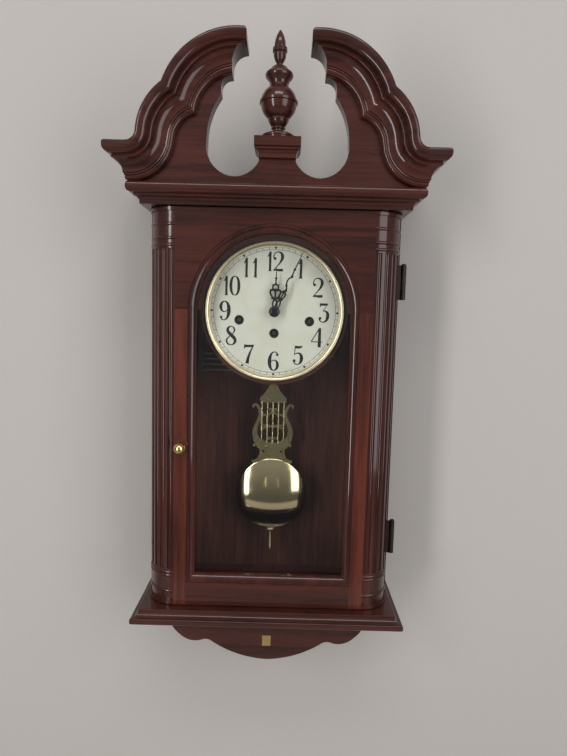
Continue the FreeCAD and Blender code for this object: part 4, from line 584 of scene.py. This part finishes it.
MINUTE_HAND_MIDDLE = [
    [(0.0, 16.0, 1.4), (0.0, 22.0, 0.9), (0.0, 29.4, 1.3)],
    [(0.0, 28.6, 1.4), (1.4, 30.8, 1.4), (0.8, 34.0, 1.15), (-0.8, 37.0, 1.15), (-2.3, 42.4, 1.0),
     (-1.5, 46.6, 1.0), (0.8, 50.4, 1.15), (0.4, 53.6, 0.95), (0.0, 58.0, 0.9)],
    [(0.0, 58.0, 0.9), (0.0, 70.0, 0.7), (0.0, 85.0, 0.3)],
]
MINUTE_HAND_PLATES = [[(0.0, 57.4), (2.0, 60.3), (0.0, 63.4), (-2.0, 60.3)]]
MINUTE_HAND_KNOBS = [(1.4, 30.7, 1.9), (-0.7, 36.9, 1.7), (0.8, 50.6, 1.8), (0.0, 16.8, 1.9),
                     (0.0, 28.8, 1.8)]
HUB_RADIUS = 6.2
# Hand nut: how much wider it is than the solid, and its rim and dome as shares of the solid's height
NUT_SPREAD = 0.4 * MM
NUT_RIM, NUT_DOME = 0.35, 0.95


def pointing(node):
    """Angle, clockwise from twelve, of the CAD hand's far tip."""
    tip = max((vert.co for vert in NODES[node].data.vertices),
              key=lambda co: (co.x ** 2 + (co.z - DIAL_CENTRE.z) ** 2))
    return atan2(tip.x, tip.z - DIAL_CENTRE.z)


class CLOCK_OT_hands(bpy.types.Operator):
    """Cuts the pierced hour hand and the serpentine minute hand, and domes their nut"""
    bl_idname = "clock.hands"
    bl_label = "Cut the hands"

    def execute(self, context):
        tone = context.scene.clock_finishes.ink
        black = ink("hand enamel", tone, 0.32)
        for name, body, sides, middle, plates, knobs in (
                ("hour_hand", "hour_hand_and_wheel", HOUR_HAND_LINES, HOUR_HAND_MIDDLE, HOUR_HAND_PLATES,
                 HOUR_HAND_KNOBS),
                ("minute_hand", "minute_hand_and_arbor", MINUTE_HAND_LINES, MINUTE_HAND_MIDDLE,
                 MINUTE_HAND_PLATES, MINUTE_HAND_KNOBS)):
            loops = both_sides(strokes(sides)) + strokes(middle)
            loops += [disc(*knob) for knob in knobs] + [disc(0.0, 0.0, HUB_RADIUS, 48)] + plates
            if name == "hour_hand":
                centre, radius, half = HOUR_HAND_RING
                loops += stroke([(*on_circle(0.0, centre, radius, radians(a)), half)
                                 for a in range(0, 360, 30)], True)
            low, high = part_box(name)
            shape = bmesh.new()
            cut_sheet(shape, turned(loops, pointing(name)), [], high.y, low.y)
            finished_piece("pierced_" + name, shape, body, black, CUT_EDGE, name)
        low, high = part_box("hand_nut")
        radius = (high.x - low.x) / 2 + NUT_SPREAD
        height = high.y - low.y
        nut = bmesh.new()
        profile = [(radius, 0.0), (radius, height * NUT_RIM)]
        for angle in (radians(a) for a in range(10, 90, 10)):
            profile.append((radius * cos(angle), height * (NUT_RIM + NUT_DOME * sin(angle))))
        lathe(nut, profile, Vector((0.0, high.y, DIAL_CENTRE.z)), "Y", 64)
        finished_piece("domed_hand_nut", nut, "minute_hand_and_arbor",
                       ink("nut enamel", tone, 0.10), DOMED_EDGE, "hand_nut")
        return {"FINISHED"}


WINDING_ARBORS = ("strike_winding_arbor", "time_winding_arbor", "chime_winding_arbor")
# Sections of the turned rings on the dial: radius and height in mm above the dial's face
BEZEL_SECTION = [(85.5, -1.0), (92.0, -1.0), (92.0, 2.6), (91.7, 3.4), (91.1, 3.9), (90.4, 3.9), (89.8, 3.4),
                 (89.4, 2.9), (87.6, 2.3), (87.2, 2.7), (86.6, 2.9), (86.0, 2.6), (85.5, 1.9)]
GROMMET_SECTION = [(4.1, -2.0), (5.6, -2.0), (5.6, 0.0), (6.3, 0.0), (6.3, 0.4), (5.9, 0.9), (5.2, 1.1),
                   (4.5, 0.9), (4.1, 0.4)]


def turned_ring(shape, section, centre, sides):
    lathe(shape, [(radius * MM, height * MM) for radius, height in section], centre, "Y", sides, hollow=True)


class CLOCK_OT_dial_rings(bpy.types.Operator):
    """Turns the brass bezel and the three grommets of the winding holes"""
    bl_idname = "clock.dial_rings"
    bl_label = "Turn the dial's rings"

    def execute(self, context):
        tones = context.scene.clock_finishes
        bezel = bmesh.new()
        turned_ring(bezel, BEZEL_SECTION, DIAL_CENTRE, 160)
        finished_piece("turned_bezel", bezel, "case",
                       brass("bezel brass", tones.bezel, tones.brass_tarnish, 0.30, 0.10), TURNED_EDGE,
                       "dial_bezel")
        grommets = bmesh.new()
        for arbor in WINDING_ARBORS:
            centre = centre_of(arbor)
            turned_ring(grommets, GROMMET_SECTION, Vector((centre.x, DIAL_CENTRE.y, centre.z)), 48)
        finished_piece("turned_grommets", grommets, "case",
                       plain_metal("grommet bronze", tones.bronze, 0.30, 0.6), TURNED_EDGE,
                       "winding_grommets")
        return {"FINISHED"}


# Lyre, in mm round the dial centre
LYRE_LINES = [
    [(27.6, -138.4, 0.8), (29.0, -137.0, 1.1), (28.7, -134.7, 1.3), (26.2, -133.6, 1.5), (23.0, -135.2, 1.8),
     (20.0, -140.0, 2.2), (17.4, -147.6, 2.9), (20.3, -156.0, 2.6), (23.4, -163.0, 2.7), (25.6, -171.0, 3.4),
     (25.4, -178.5, 4.0), (22.4, -187.0, 4.8), (16.0, -195.0, 6.0)],
    [(15.2, -147.6, 1.9), (10.0, -149.0, 1.2), (5.6, -147.8, 1.2), (1.7, -144.6, 1.5), (1.4, -141.6, 1.2),
     (3.5, -139.6, 1.0), (5.5, -141.0, 0.9), (4.3, -142.9, 0.7)],
    [(0.0, -165.4, 2.0), (8.0, -165.0, 1.7), (12.6, -164.4, 1.3), (15.6, -163.8, 1.1), (17.6, -161.6, 1.0),
     (16.2, -159.6, 0.9), (14.4, -161.0, 0.7)],
    [(5.0, -166.4, 1.0), (11.6, -167.6, 1.1), (15.6, -170.6, 1.0), (16.6, -174.4, 0.7)],
    [(13.2, -149.4, 0.9), (16.4, -153.0, 0.9), (17.4, -158.6, 0.7)],
    [(0.4, -190.0, 1.8), (1.2, -186.0, 1.2), (2.7, -182.6, 1.1), (5.3, -182.0, 1.0), (5.8, -184.6, 0.9),
     (4.0, -185.4, 0.7)],
]
LYRE_BALLS = [(26.0, -193.4, 2.4), (27.3, -217.8, 2.4), (28.6, -136.4, 1.6)]
LYRE_KEYSTONE = [(0.0, -105.0), (5.6, -105.0), (7.4, -109.0), (10.6, -114.0), (14.6, -119.0), (18.6, -123.2),
                 (19.2, -124.4), (18.7, -130.4), (0.0, -130.4)]
LYRE_WAIST = [(0.0, -188.2), (3.0, -189.4), (8.0, -189.2), (12.5, -187.0), (16.6, -183.0), (25.6, -191.4),
              (21.4, -195.6), (18.7, -199.0), (18.0, -203.0), (18.8, -208.0), (21.6, -213.0), (26.6, -217.0),
              (27.2, -219.6), (24.0, -221.6), (0.0, -221.6)]
LYRE_HOLES = [(13.0, -202.8, 1.8)]
STRINGS = 5
STRING_PITCH = 8.0
STRING_RADIUS = 1.15
STRING_TOP, INNER_STRING_FOOT, OUTER_STRING_FOOT = -129.0, -191.0, -185.0
# Bob, rod and knurling in metres, and the rating nut as shares of the solid's radius and height
BOB_DOME = 9.4 * MM
BOB_EDGE = 0.4 * MM
BOB_RINGS = 48
ROD_RADIUS, THREAD_ROOT, THREAD_PITCH = 1.3 * MM, 1.1 * MM, 0.8 * MM
THREAD_ABOVE_NUT = 4 * MM
ROD_TOP = DIAL_CENTRE.z - 215 * MM
KNURLS, KNURL_DEPTH = 36, 0.4 * MM
RATING_NUT_SECTION = [(0.6, 0.0), (0.86, 0.0), (1.0, 0.16), (1.0, 0.84), (0.86, 1.0), (0.6, 1.0)]


def spun_bob(shape):
    """Adds the bob: a shallow dome on a plain rim with eased edges."""
    low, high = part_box("pendulum_bob")
    radius = (high.z - low.z) / 2
    depth = high.y - low.y
    rim = depth - BOB_DOME
    inner = radius - BOB_EDGE
    curve = (inner ** 2 + BOB_DOME ** 2) / (2 * BOB_DOME)
    profile = [(inner, 0.0), (radius, BOB_EDGE), (radius, rim - BOB_EDGE)]
    for ring in range(BOB_RINGS):
        reach = inner * (1 - ring / BOB_RINGS)
        profile.append((reach, depth - curve + sqrt(curve ** 2 - reach ** 2)))
    centre = centre_of("pendulum_bob")
    lathe(shape, profile, Vector((centre.x, high.y, centre.z)), "Y", 144)


def threaded_rod(foot, thread_top):
    """Profile of the rod: threaded from its foot, plain above."""
    profile = [(THREAD_ROOT, foot)]
    turn = foot + THREAD_PITCH
    while turn < thread_top:
        profile += [(ROD_RADIUS, turn), (THREAD_ROOT, turn + THREAD_PITCH / 2)]
        turn += THREAD_PITCH
    return profile + [(ROD_RADIUS, thread_top + THREAD_PITCH), (ROD_RADIUS, ROD_TOP)]


class CLOCK_OT_pendulum(bpy.types.Operator):
    """Cuts the brass lyre with its strings and rod, spins the bob and knurls the rating nut"""
    bl_idname = "clock.pendulum"
    bl_label = "Make the pendulum"

    def execute(self, context):
        tones = context.scene.clock_finishes
        metal = brass("lyre brass", tones.lyre, toned(tones.lyre, 0.7), 0.24, 0.4, BRUSHED_Z)
        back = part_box("pendulum_leader")[0].y
        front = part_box("pendulum_lyre")[0].y
        shape = bmesh.new()
        loops = both_sides(strokes(LYRE_LINES) + [disc(*ball) for ball in LYRE_BALLS]
                           + [LYRE_KEYSTONE, LYRE_WAIST])
        holes = both_sides([disc(*hole) for hole in LYRE_HOLES])
        cut_sheet(shape, loops, holes, back, front)
        for index in range(STRINGS):
            x = STRING_PITCH * (index - (STRINGS - 1) / 2)
            foot = OUTER_STRING_FOOT if index in (0, STRINGS - 1) else INNER_STRING_FOOT
            profile = [(STRING_RADIUS * MM, foot * MM), (STRING_RADIUS * MM, STRING_TOP * MM)]
            lathe(shape, profile, Vector((x * MM, (back + front) / 2, DIAL_CENTRE.z)), sides=32)
        bob = bmesh.new()
        spun_bob(bob)
        finished_piece("spun_bob", bob, "pendulum",
                       brass("bob brass", tones.bob, tones.brass_tarnish, 0.06, 0.06), PLAIN_EDGE,
                       "pendulum_bob")
        low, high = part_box("rating_nut")
        depth = centre_of("rating_nut").y
        lathe(shape, threaded_rod(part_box("pendulum_lyre")[0].z, high.z + THREAD_ABOVE_NUT),
              Vector((0.0, depth, 0.0)), sides=32)
        finished_piece("lyre", shape, "pendulum", metal, CUT_EDGE, "pendulum_lyre")
        nut = bmesh.new()
        radius, height = (high.x - low.x) / 2, high.z - low.z
        lathe(nut, [(radius * across, height * up) for across, up in RATING_NUT_SECTION],
              Vector((0.0, depth, low.z)), sides=144, ridges=KNURLS, ridge=KNURL_DEPTH)
        finished_piece("knurled_rating_nut", nut, "pendulum", metal, TURNED_EDGE, "rating_nut")
        return {"FINISHED"}


# Swan necks, in mm: across from the middle, up from the dial centre, out from the pediment board's face
BOARD_HALF = 174.0
BOARD_FRONT = 145.0
BOARD_BACK = 127.0
RETURN_BACK = 12.0
FLAT_RISE = 193.5
LOBE_HALF, LOBE_RISE, LOBE_RADIUS = 47.5, 228.2, 93.5
SHOULDER_HALF, SHOULDER_RISE, SHOULDER_RADIUS = 91.0, 199.5, 75.0
FILLET_RADIUS = 12.0
FILLET_RISE = FLAT_RISE + FILLET_RADIUS
FILLET_HALF = SHOULDER_HALF + sqrt((SHOULDER_RADIUS + FILLET_RADIUS) ** 2
                                   - (FILLET_RISE - SHOULDER_RISE) ** 2)
END_HALF, END_ROUND = 37.5, 6.0
END_LIP_RISE = 307.7
UPPER_COVE_HALF, UPPER_COVE_RISE = 55.5, 289.7
LOWER_COVE_TOP = 278.2
LOWER_COVE_HALF, LOWER_COVE_RISE = 69.0, 267.2
COVE_ROUND = 0.52
FILLET_POINTS, SHOULDER_STEPS, LOBE_STEPS = 9, 18, 28
# The search for a line's sawn end: the furthest angle on the lobe, and how often the span is halved
LOBE_LIMIT = radians(100.0)
HALVINGS = 40
# Section: out, down and, where the run from the point before is bowed, how far and in how many steps
NECK_SECTION = [(26.4, 0.0), (29.9, 3.6, 1.0, 6), (29.6, 8.4, 0.2, 4), (21.6, 14.2, 1.8, 8), (20.6, 14.6),
                (20.4, 15.4), (20.8, 15.8), (20.2, 18.6, 1.0, 6), (19.2, 19.0), (10.6, 33.0, -2.6, 12),
                (9.2, 33.4), (9.5, 35.4), (8.0, 35.8), (8.4, 36.8), (4.2, 42.0, 1.5, 8), (0.0, 42.0)]


def bowed(start, end, bow, steps):
    """Points after the start, up to the end, on an arc that bows out by a height; below 0 it is hollow."""
    half = (end - start) / 2
    out = Vector((half.y, -half.x)).normalized()
    radius = (half.length_squared + bow * bow) / (2 * bow)
    centre = start + half + out * (bow - radius)
    step = 2 * asin(half.length / radius) / steps
    return [centre + Matrix.Rotation(step * index, 2) @ (start - centre) for index in range(1, steps + 1)]


def neck_section():
    """Profile as (out, down): rolled lip, groove, bead, great cove, two fillets and a bead at the foot."""
    points = [Vector((0.0, 0.0))]
    for out, down, *bow in NECK_SECTION:
        end = Vector((out, down))
        points += bowed(points[-1], end, *bow) if bow else [end]
    return points


def on_cove(top, foot, rise):
    """How far from the middle a cove from one corner down to another is at a height."""
    top, foot = Vector(top), Vector(foot)
    half = (foot - top) / 2
    radius = COVE_ROUND * 2 * (half.x - half.y)
    back = sqrt(radius ** 2 - half.length_squared)
    centre = top + half + Vector((half.y, -half.x)).normalized() * back
    return centre.x + sqrt(max(radius ** 2 - (rise - centre.y) ** 2, 0.0))


def end_line(rise):
    """How far from the middle a neck is sawn off at a height: a rounded lip over two coves."""
    if rise > END_LIP_RISE:
        lift = max(rise - (LOBE_RISE + LOBE_RADIUS - END_ROUND), 0.0)
        return END_HALF + END_ROUND - sqrt(max(END_ROUND ** 2 - lift ** 2, 0.0))
    if rise > UPPER_COVE_RISE:
        return on_cove((END_HALF, END_LIP_RISE), (UPPER_COVE_HALF, UPPER_COVE_RISE), rise)
    if rise > LOWER_COVE_TOP:
        return UPPER_COVE_HALF
    if rise > LOWER_COVE_RISE:
        return on_cove((UPPER_COVE_HALF, LOWER_COVE_TOP), (LOWER_COVE_HALF, LOWER_COVE_RISE), rise)
    return LOWER_COVE_HALF


def neck_line(out, down):
    """One line of the moulding, as (across, rise): flat, fillet, shoulder to the cusp, lobe to its end."""
    lobe, shoulder, fillet = LOBE_RADIUS - down, SHOULDER_RADIUS - down, FILLET_RADIUS + down
    start = BOARD_HALF + out
    first = -pi / 2
    line = []
    if start > FILLET_HALF:
        line.append((start, FLAT_RISE - down))
    else:
        first -= asin((FILLET_HALF - start) / fillet)
    tilt = atan2(FILLET_RISE - SHOULDER_RISE, FILLET_HALF - SHOULDER_HALF)
    count = FILLET_POINTS - len(line)
    turn = (tilt - pi - first) / (count - 1)
    line += [on_circle(FILLET_HALF, FILLET_RISE, fillet, first + turn * step) for step in range(count)]
    across, fall = SHOULDER_HALF - LOBE_HALF, SHOULDER_RISE - LOBE_RISE
    apart = hypot(across, fall)
    along = (lobe ** 2 - shoulder ** 2 + apart ** 2) / (2 * apart)
    aside = sqrt(lobe ** 2 - along ** 2)
    cusp_half = LOBE_HALF + (along * across - aside * fall) / apart
    cusp_rise = LOBE_RISE + (along * fall + aside * across) / apart
    turn = (atan2(cusp_rise - SHOULDER_RISE, cusp_half - SHOULDER_HALF) - tilt) / SHOULDER_STEPS
    line += [on_circle(SHOULDER_HALF, SHOULDER_RISE, shoulder, tilt + turn * step)
             for step in range(1, SHOULDER_STEPS + 1)]
    first = atan2(cusp_rise - LOBE_RISE, cusp_half - LOBE_HALF)
    near, far = first, LOBE_LIMIT
    for _ in range(HALVINGS):
        middle = (near + far) / 2
        x, rise = on_circle(LOBE_HALF, LOBE_RISE, lobe, middle)
        near, far = (middle, far) if x > end_line(rise) else (near, middle)
    turn = (near - first) / LOBE_STEPS
    return line + [on_circle(LOBE_HALF, LOBE_RISE, lobe, first + turn * step)
                   for step in range(1, LOBE_STEPS + 1)]


def placed(side, x, forward, rise):
    return Vector((side * x * MM, -forward * MM, DIAL_CENTRE.z + rise * MM))


def joined(shape):
    bmesh.ops.remove_doubles(shape, verts=shape.verts[:], dist=SAME_POINT)
    bmesh.ops.recalc_face_normals(shape, faces=shape.faces[:])


def swan_neck(shape, side):
    """Adds one neck: the section run along its lines, mitred at the return and sawn at the inner end."""
    section = neck_section()
    front, back = ([[shape.verts.new(placed(side, x, BOARD_FRONT + out, rise))
                     for x, rise in neck_line(out, down)] for out, down in points]
                   for points in (section, [(0.0, down) for _, down in section[2:-2]]))
    back = [front[0], *back, front[-1]]
    strips(shape, front)
    strips(shape, back)
    for end in (0, -1):
        strip(shape, [row[end] for row in front[1:-1]], [row[end] for row in back])


def swan_return(shape, side):
    """Adds the same moulding from the mitre back to the wall, thicker behind the board."""
    rows = [[shape.verts.new(placed(side, BOARD_HALF + out, forward, FLAT_RISE - down))
             for forward in (BOARD_FRONT + out, BOARD_BACK, 0.0)] for out, down in neck_section()]
    strips(shape, rows)
    first, last = rows[0], rows[-1]
    inside = side * (BOARD_HALF - RETURN_BACK) * MM
    top, foot = ([shape.verts.new((inside, corner.co.y, corner.co.z)) for corner in row[1:]]
                 for row in (first, last))
    strip(shape, first[:2], last[:2])
    strips(shape, (first[1:], top, foot, last[1:]))
    shape.faces.new((first[1], top[0], foot[0], last[1]))
    shape.faces.new([row[0] for row in rows])
    shape.faces.new([row[2] for row in rows] + [foot[1], top[1]])


class CLOCK_OT_swan_necks(bpy.types.Operator):
    """Runs the swan-neck mouldings of the pediment and their returns to the wall"""
    bl_idname = "clock.swan_necks"
    bl_label = "Run the swan necks"

    def execute(self, context):
        tones = context.scene.clock_finishes
        wood = lacquered_wood("swan neck wood", tones.case_dark, tones.case_light, ALONG_X)
        for name, side in (("left", -1), ("right", 1)):
            neck = bmesh.new()
            swan_neck(neck, side)
            joined(neck)
            finished_piece("moulded_swan_neck_" + name, neck, "case", wood, MOULDED_EDGE,
                           "swan_neck_" + name)
        returns = bmesh.new()
        for side in (-1, 1):
            swan_return(returns, side)
        joined(returns)
        finished_piece("moulded_swan_returns", returns, "case", wood, MOULDED_EDGE,
                       "swan_returns")
        return {"FINISHED"}


class CLOCK_OT_woodwork(bpy.types.Operator):
    """Stains and lacquers the case, door and panels"""
    bl_idname = "clock.woodwork"
    bl_label = "Finish the wood"

    def execute(self, context):
        tones = context.scene.clock_finishes
        case = tones.case_dark, tones.case_light
        door = tones.door_dark, tones.door_light
        panel = tones.panel_dark, tones.panel_light
        upright = lacquered_wood("case wood upright", *case, ALONG_Z)
        across = lacquered_wood("case wood across", *case, ALONG_X)
        level = lacquered_wood("case wood level", *case, ALONG_LEVEL)
        stile = lacquered_wood("door wood upright", *door, ALONG_Z)
        rail = lacquered_wood("door wood across", *case, ALONG_X)
        wear(("left_side", "right_side", "finial", "column_left", "column_right"), upright)
        wear(("pediment_board", "apron"), across)
        wear(("top_board", "base_board", "cornice", "finial_plinth"), level)
        wear(("door_stile_left", "door_stile_right", "glass_bead"), stile)
        wear(("door_head_rail", "door_bottom_rail"), rail)
        wear(("sight_moulding",), lacquered_wood("sight moulding wood", *case, ALONG_Z, 0.22, 0.9))
        wear(("back_panel",), lacquered_wood("back panel wood", *panel, ALONG_Z, 0.45, 0.1))
        wear(("dial_board",), lacquered_wood("dial board wood", *panel, ALONG_X, 0.42, 0.15))
        return {"FINISHED"}


class CLOCK_OT_metalwork(bpy.types.Operator):
    """Polishes, bronzes and paints the metal pieces and glazes the door"""
    bl_idname = "clock.metalwork"
    bl_label = "Finish the metal and glass"

    def execute(self, context):
        tones = context.scene.clock_finishes
        shades = tones.brass, tones.brass_tarnish
        wear(("door_knob", "apron_plaque"), brass("knob brass", *shades, 0.16, 0.3))
        wear(("centre_arbor", "minute_wheel", "hour_wheel", "movement_front_plate", "movement_back_plate",
              "movement_pillars", "spring_barrels", "escape_wheel", "pendulum_leader", "hammer_1", "hammer_2",
              "hammer_3", "hammer_4"), brass("movement brass", *shades, 0.28, 0.45, BRUSHED_X))
        wear(("case_hinge_leaves", "door_hinge_leaves", "hinge_pins"),
             plain_metal("dark bronze", tones.bronze, 0.38, 0.7))
        wear(("wall_hanger", "anchor", "suspension_bracket", "chime_rods", "hammer_bracket"),
             plain_metal("bare steel", tones.steel, 0.30, 1.0, BRUSHED_Y))
        # The winding arbors take the bare steel darkened to a fifth: partly dark oxide, partly painted shade
        # of the winding holes they stand in
        wear(WINDING_ARBORS, plain_metal("dark oxide steel with painted hole shade", toned(tones.steel, 0.2), 0.34, 1.0, BRUSHED_Y))
        wear(("chime_block",), plain_metal("cast iron", CAST_IRON, 0.55, 0.3))
        wear(("door_catch",), plain_metal("brown plastic", BROWN_PLASTIC, 0.45, 0.0))
        wear(("dial",), dial_paint("cream dial paint", tones.dial))
        wear(("door_glass",), window_glass("door glass"))
        return {"FINISHED"}


# Stage in metres, and the tints of the room's light from below and from overhead
STAGE_HALF = 4.0
WALL_TOP = 3.0
WALL_BEHIND = 1.2 * MM
PANEL_OVERLAP = 10 * MM
FLOOR_LEVEL, FLOOR_FRONT = -0.95, -1.15
LIGHT_AIM = Vector((0.0, -0.1, -0.15))
ROOM_LOW, ROOM_HIGH = (0.30, 0.30, 0.31), (1.0, 1.0, 1.0)
# Camera fitted to the photograph: place in metres, angles in degrees, height of the sensor in mm
CAMERA_PLACE = Vector((0.0160, -0.85565, -0.1040))
CAMERA_PITCH, CAMERA_YAW, CAMERA_ROLL = 6.02, -0.141, 1.474
SENSOR_HEIGHT = 36.0


def one_sided(name, tint):
    """Matt paint that is seen from the front and clear from behind."""
    paint = Finish(name)
    shade = paint.mixed(paint.noise(paint.place(), WALL_PATCHES) * 0.25, tint, toned(tint, 0.96))
    matt = paint.add("ShaderNodeBsdfDiffuse", {"Color": shade})
    clear = paint.add("ShaderNodeBsdfTransparent")
    behind = paint.add("ShaderNodeNewGeometry", output="Backfacing")
    return paint.shown(paint.add("ShaderNodeMixShader", {0: behind, 1: matt, 2: clear}))


def stage_plane(name, corners, material, faces=((0, 1, 2, 3),)):
    mesh = bpy.data.meshes.new(name)
    mesh.from_pydata(corners, [], faces)
    mesh.materials.append(material)
    in_scene(name, mesh)


def upright_rectangle(left, right, low, high):
    return [(x, WALL_BEHIND, z) for x, z in ((left, low), (right, low), (right, high), (left, high))]


def soft_light(name, place, size, power, tint):
    lamp = bpy.data.lights.new(name, "AREA")
    lamp.shape = "RECTANGLE"
    lamp.size, lamp.size_y = size
    lamp.energy = power
    lamp.color = tint
    made = in_scene(name, lamp)
    made.location = place
    made.rotation_euler = (LIGHT_AIM - Vector(place)).to_track_quat("-Z", "Y").to_euler()


def fitted_camera(focal_length):
    lens = bpy.data.cameras.new("camera")
    lens.sensor_fit = "VERTICAL"
    lens.sensor_height = SENSOR_HEIGHT
    lens.lens = focal_length
    lens.clip_start = 0.01
    camera = in_scene("camera", lens)
    pitch, yaw, roll = (radians(angle) for angle in (CAMERA_PITCH, CAMERA_YAW, CAMERA_ROLL))
    camera.matrix_world = (Matrix.Translation(CAMERA_PLACE) @ Matrix.Rotation(-yaw, 4, "Z")
                           @ Matrix.Rotation(pi / 2 - pitch, 4, "X") @ Matrix.Rotation(roll, 4, "Z"))
    return camera


class CLOCK_OT_stage(bpy.types.Operator):
    """Sets up the wall, which is open behind the back panel, the floor, the lights and the camera"""
    bl_idname = "clock.stage"
    bl_label = "Set the stage"

    def execute(self, context):
        scene = context.scene
        stage = scene.clock_stage
        low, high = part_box("back_panel")
        wall = upright_rectangle(-STAGE_HALF, STAGE_HALF, FLOOR_LEVEL, WALL_TOP)
        wall += upright_rectangle(low.x + PANEL_OVERLAP, high.x - PANEL_OVERLAP, low.z + PANEL_OVERLAP,
                                  high.z - PANEL_OVERLAP)
        stage_plane("wall", wall, one_sided("wall paint", stage.wall),
                    ((0, 1, 5, 4), (1, 2, 6, 5), (2, 3, 7, 6), (3, 0, 4, 7)))
        floor = [(x, y, FLOOR_LEVEL) for x, y in ((-STAGE_HALF, FLOOR_FRONT), (STAGE_HALF, FLOOR_FRONT),
                                                  (STAGE_HALF, WALL_BEHIND), (-STAGE_HALF, WALL_BEHIND))]
        stage_plane("floor", floor, one_sided("floor paint", stage.floor))
        soft_light("right light", (1.30, -1.65, 0.1), (1.1, 1.9), stage.key, (1.0, 0.995, 0.99))
        soft_light("left light", (-1.20, -1.75, 0.0), (0.35, 2.0), stage.fill, (1.0, 0.99, 0.97))
        soft_light("top light", (0.0, -1.55, 1.75), (1.6, 0.5), stage.top, (1.0, 1.0, 1.0))
        room = Finish("room", "worlds")
        way = room.add("ShaderNodeSeparateXYZ", {0: room.add("ShaderNodeTexCoord")}, 2)
        light = room.mixed(room.between(way, -0.45, 0.6), ROOM_LOW, ROOM_HIGH)
        background = room.add("ShaderNodeBackground", {"Color": light, "Strength": stage.room})
        scene.world = room.shown(background, "ShaderNodeOutputWorld")
        scene.view_settings.view_transform = "Standard"
        scene.camera = fitted_camera(stage.lens)
        return {"FINISHED"}


STEPS = (CLOCK_OT_woodwork, CLOCK_OT_swan_necks, CLOCK_OT_metalwork, CLOCK_OT_dial_print,
         CLOCK_OT_dial_rings, CLOCK_OT_hands, CLOCK_OT_pendulum, CLOCK_OT_stage)


class CLOCK_PT_steps(bpy.types.Panel):
    """Lists the settings and the steps of the clock"""
    bl_idname = "CLOCK_PT_steps"
    bl_label = "Wall clock"
    bl_space_type = "VIEW_3D"
    bl_region_type = "UI"
    bl_category = "Clock"

    def draw(self, context):
        for group in (context.scene.clock_finishes, context.scene.clock_dial, context.scene.clock_stage):
            column = self.layout.column()
            for name in group.__annotations__:
                column.prop(group, name)
        for step in STEPS:
            self.layout.operator(step.bl_idname)


GROUPS = {"clock_finishes": ClockFinishes, "clock_dial": ClockDialSizes, "clock_stage": ClockStage}
CLASSES = (*GROUPS.values(), *STEPS, CLOCK_PT_steps)


def register():
    for kind in CLASSES:
        bpy.utils.register_class(kind)
    for name, kind in GROUPS.items():
        setattr(bpy.types.Scene, name, PointerProperty(type=kind))


def unregister():
    for name in GROUPS:
        delattr(bpy.types.Scene, name)
    for kind in reversed(CLASSES):
        bpy.utils.unregister_class(kind)


def main():
    register()
    bpy.ops.clock.woodwork()
    bpy.ops.clock.swan_necks()
    bpy.ops.clock.metalwork()
    bpy.ops.clock.dial_print()
    bpy.ops.clock.dial_rings()
    bpy.ops.clock.hands()
    bpy.ops.clock.pendulum()
    bpy.ops.clock.stage()


if __name__ == "__main__":
    main()
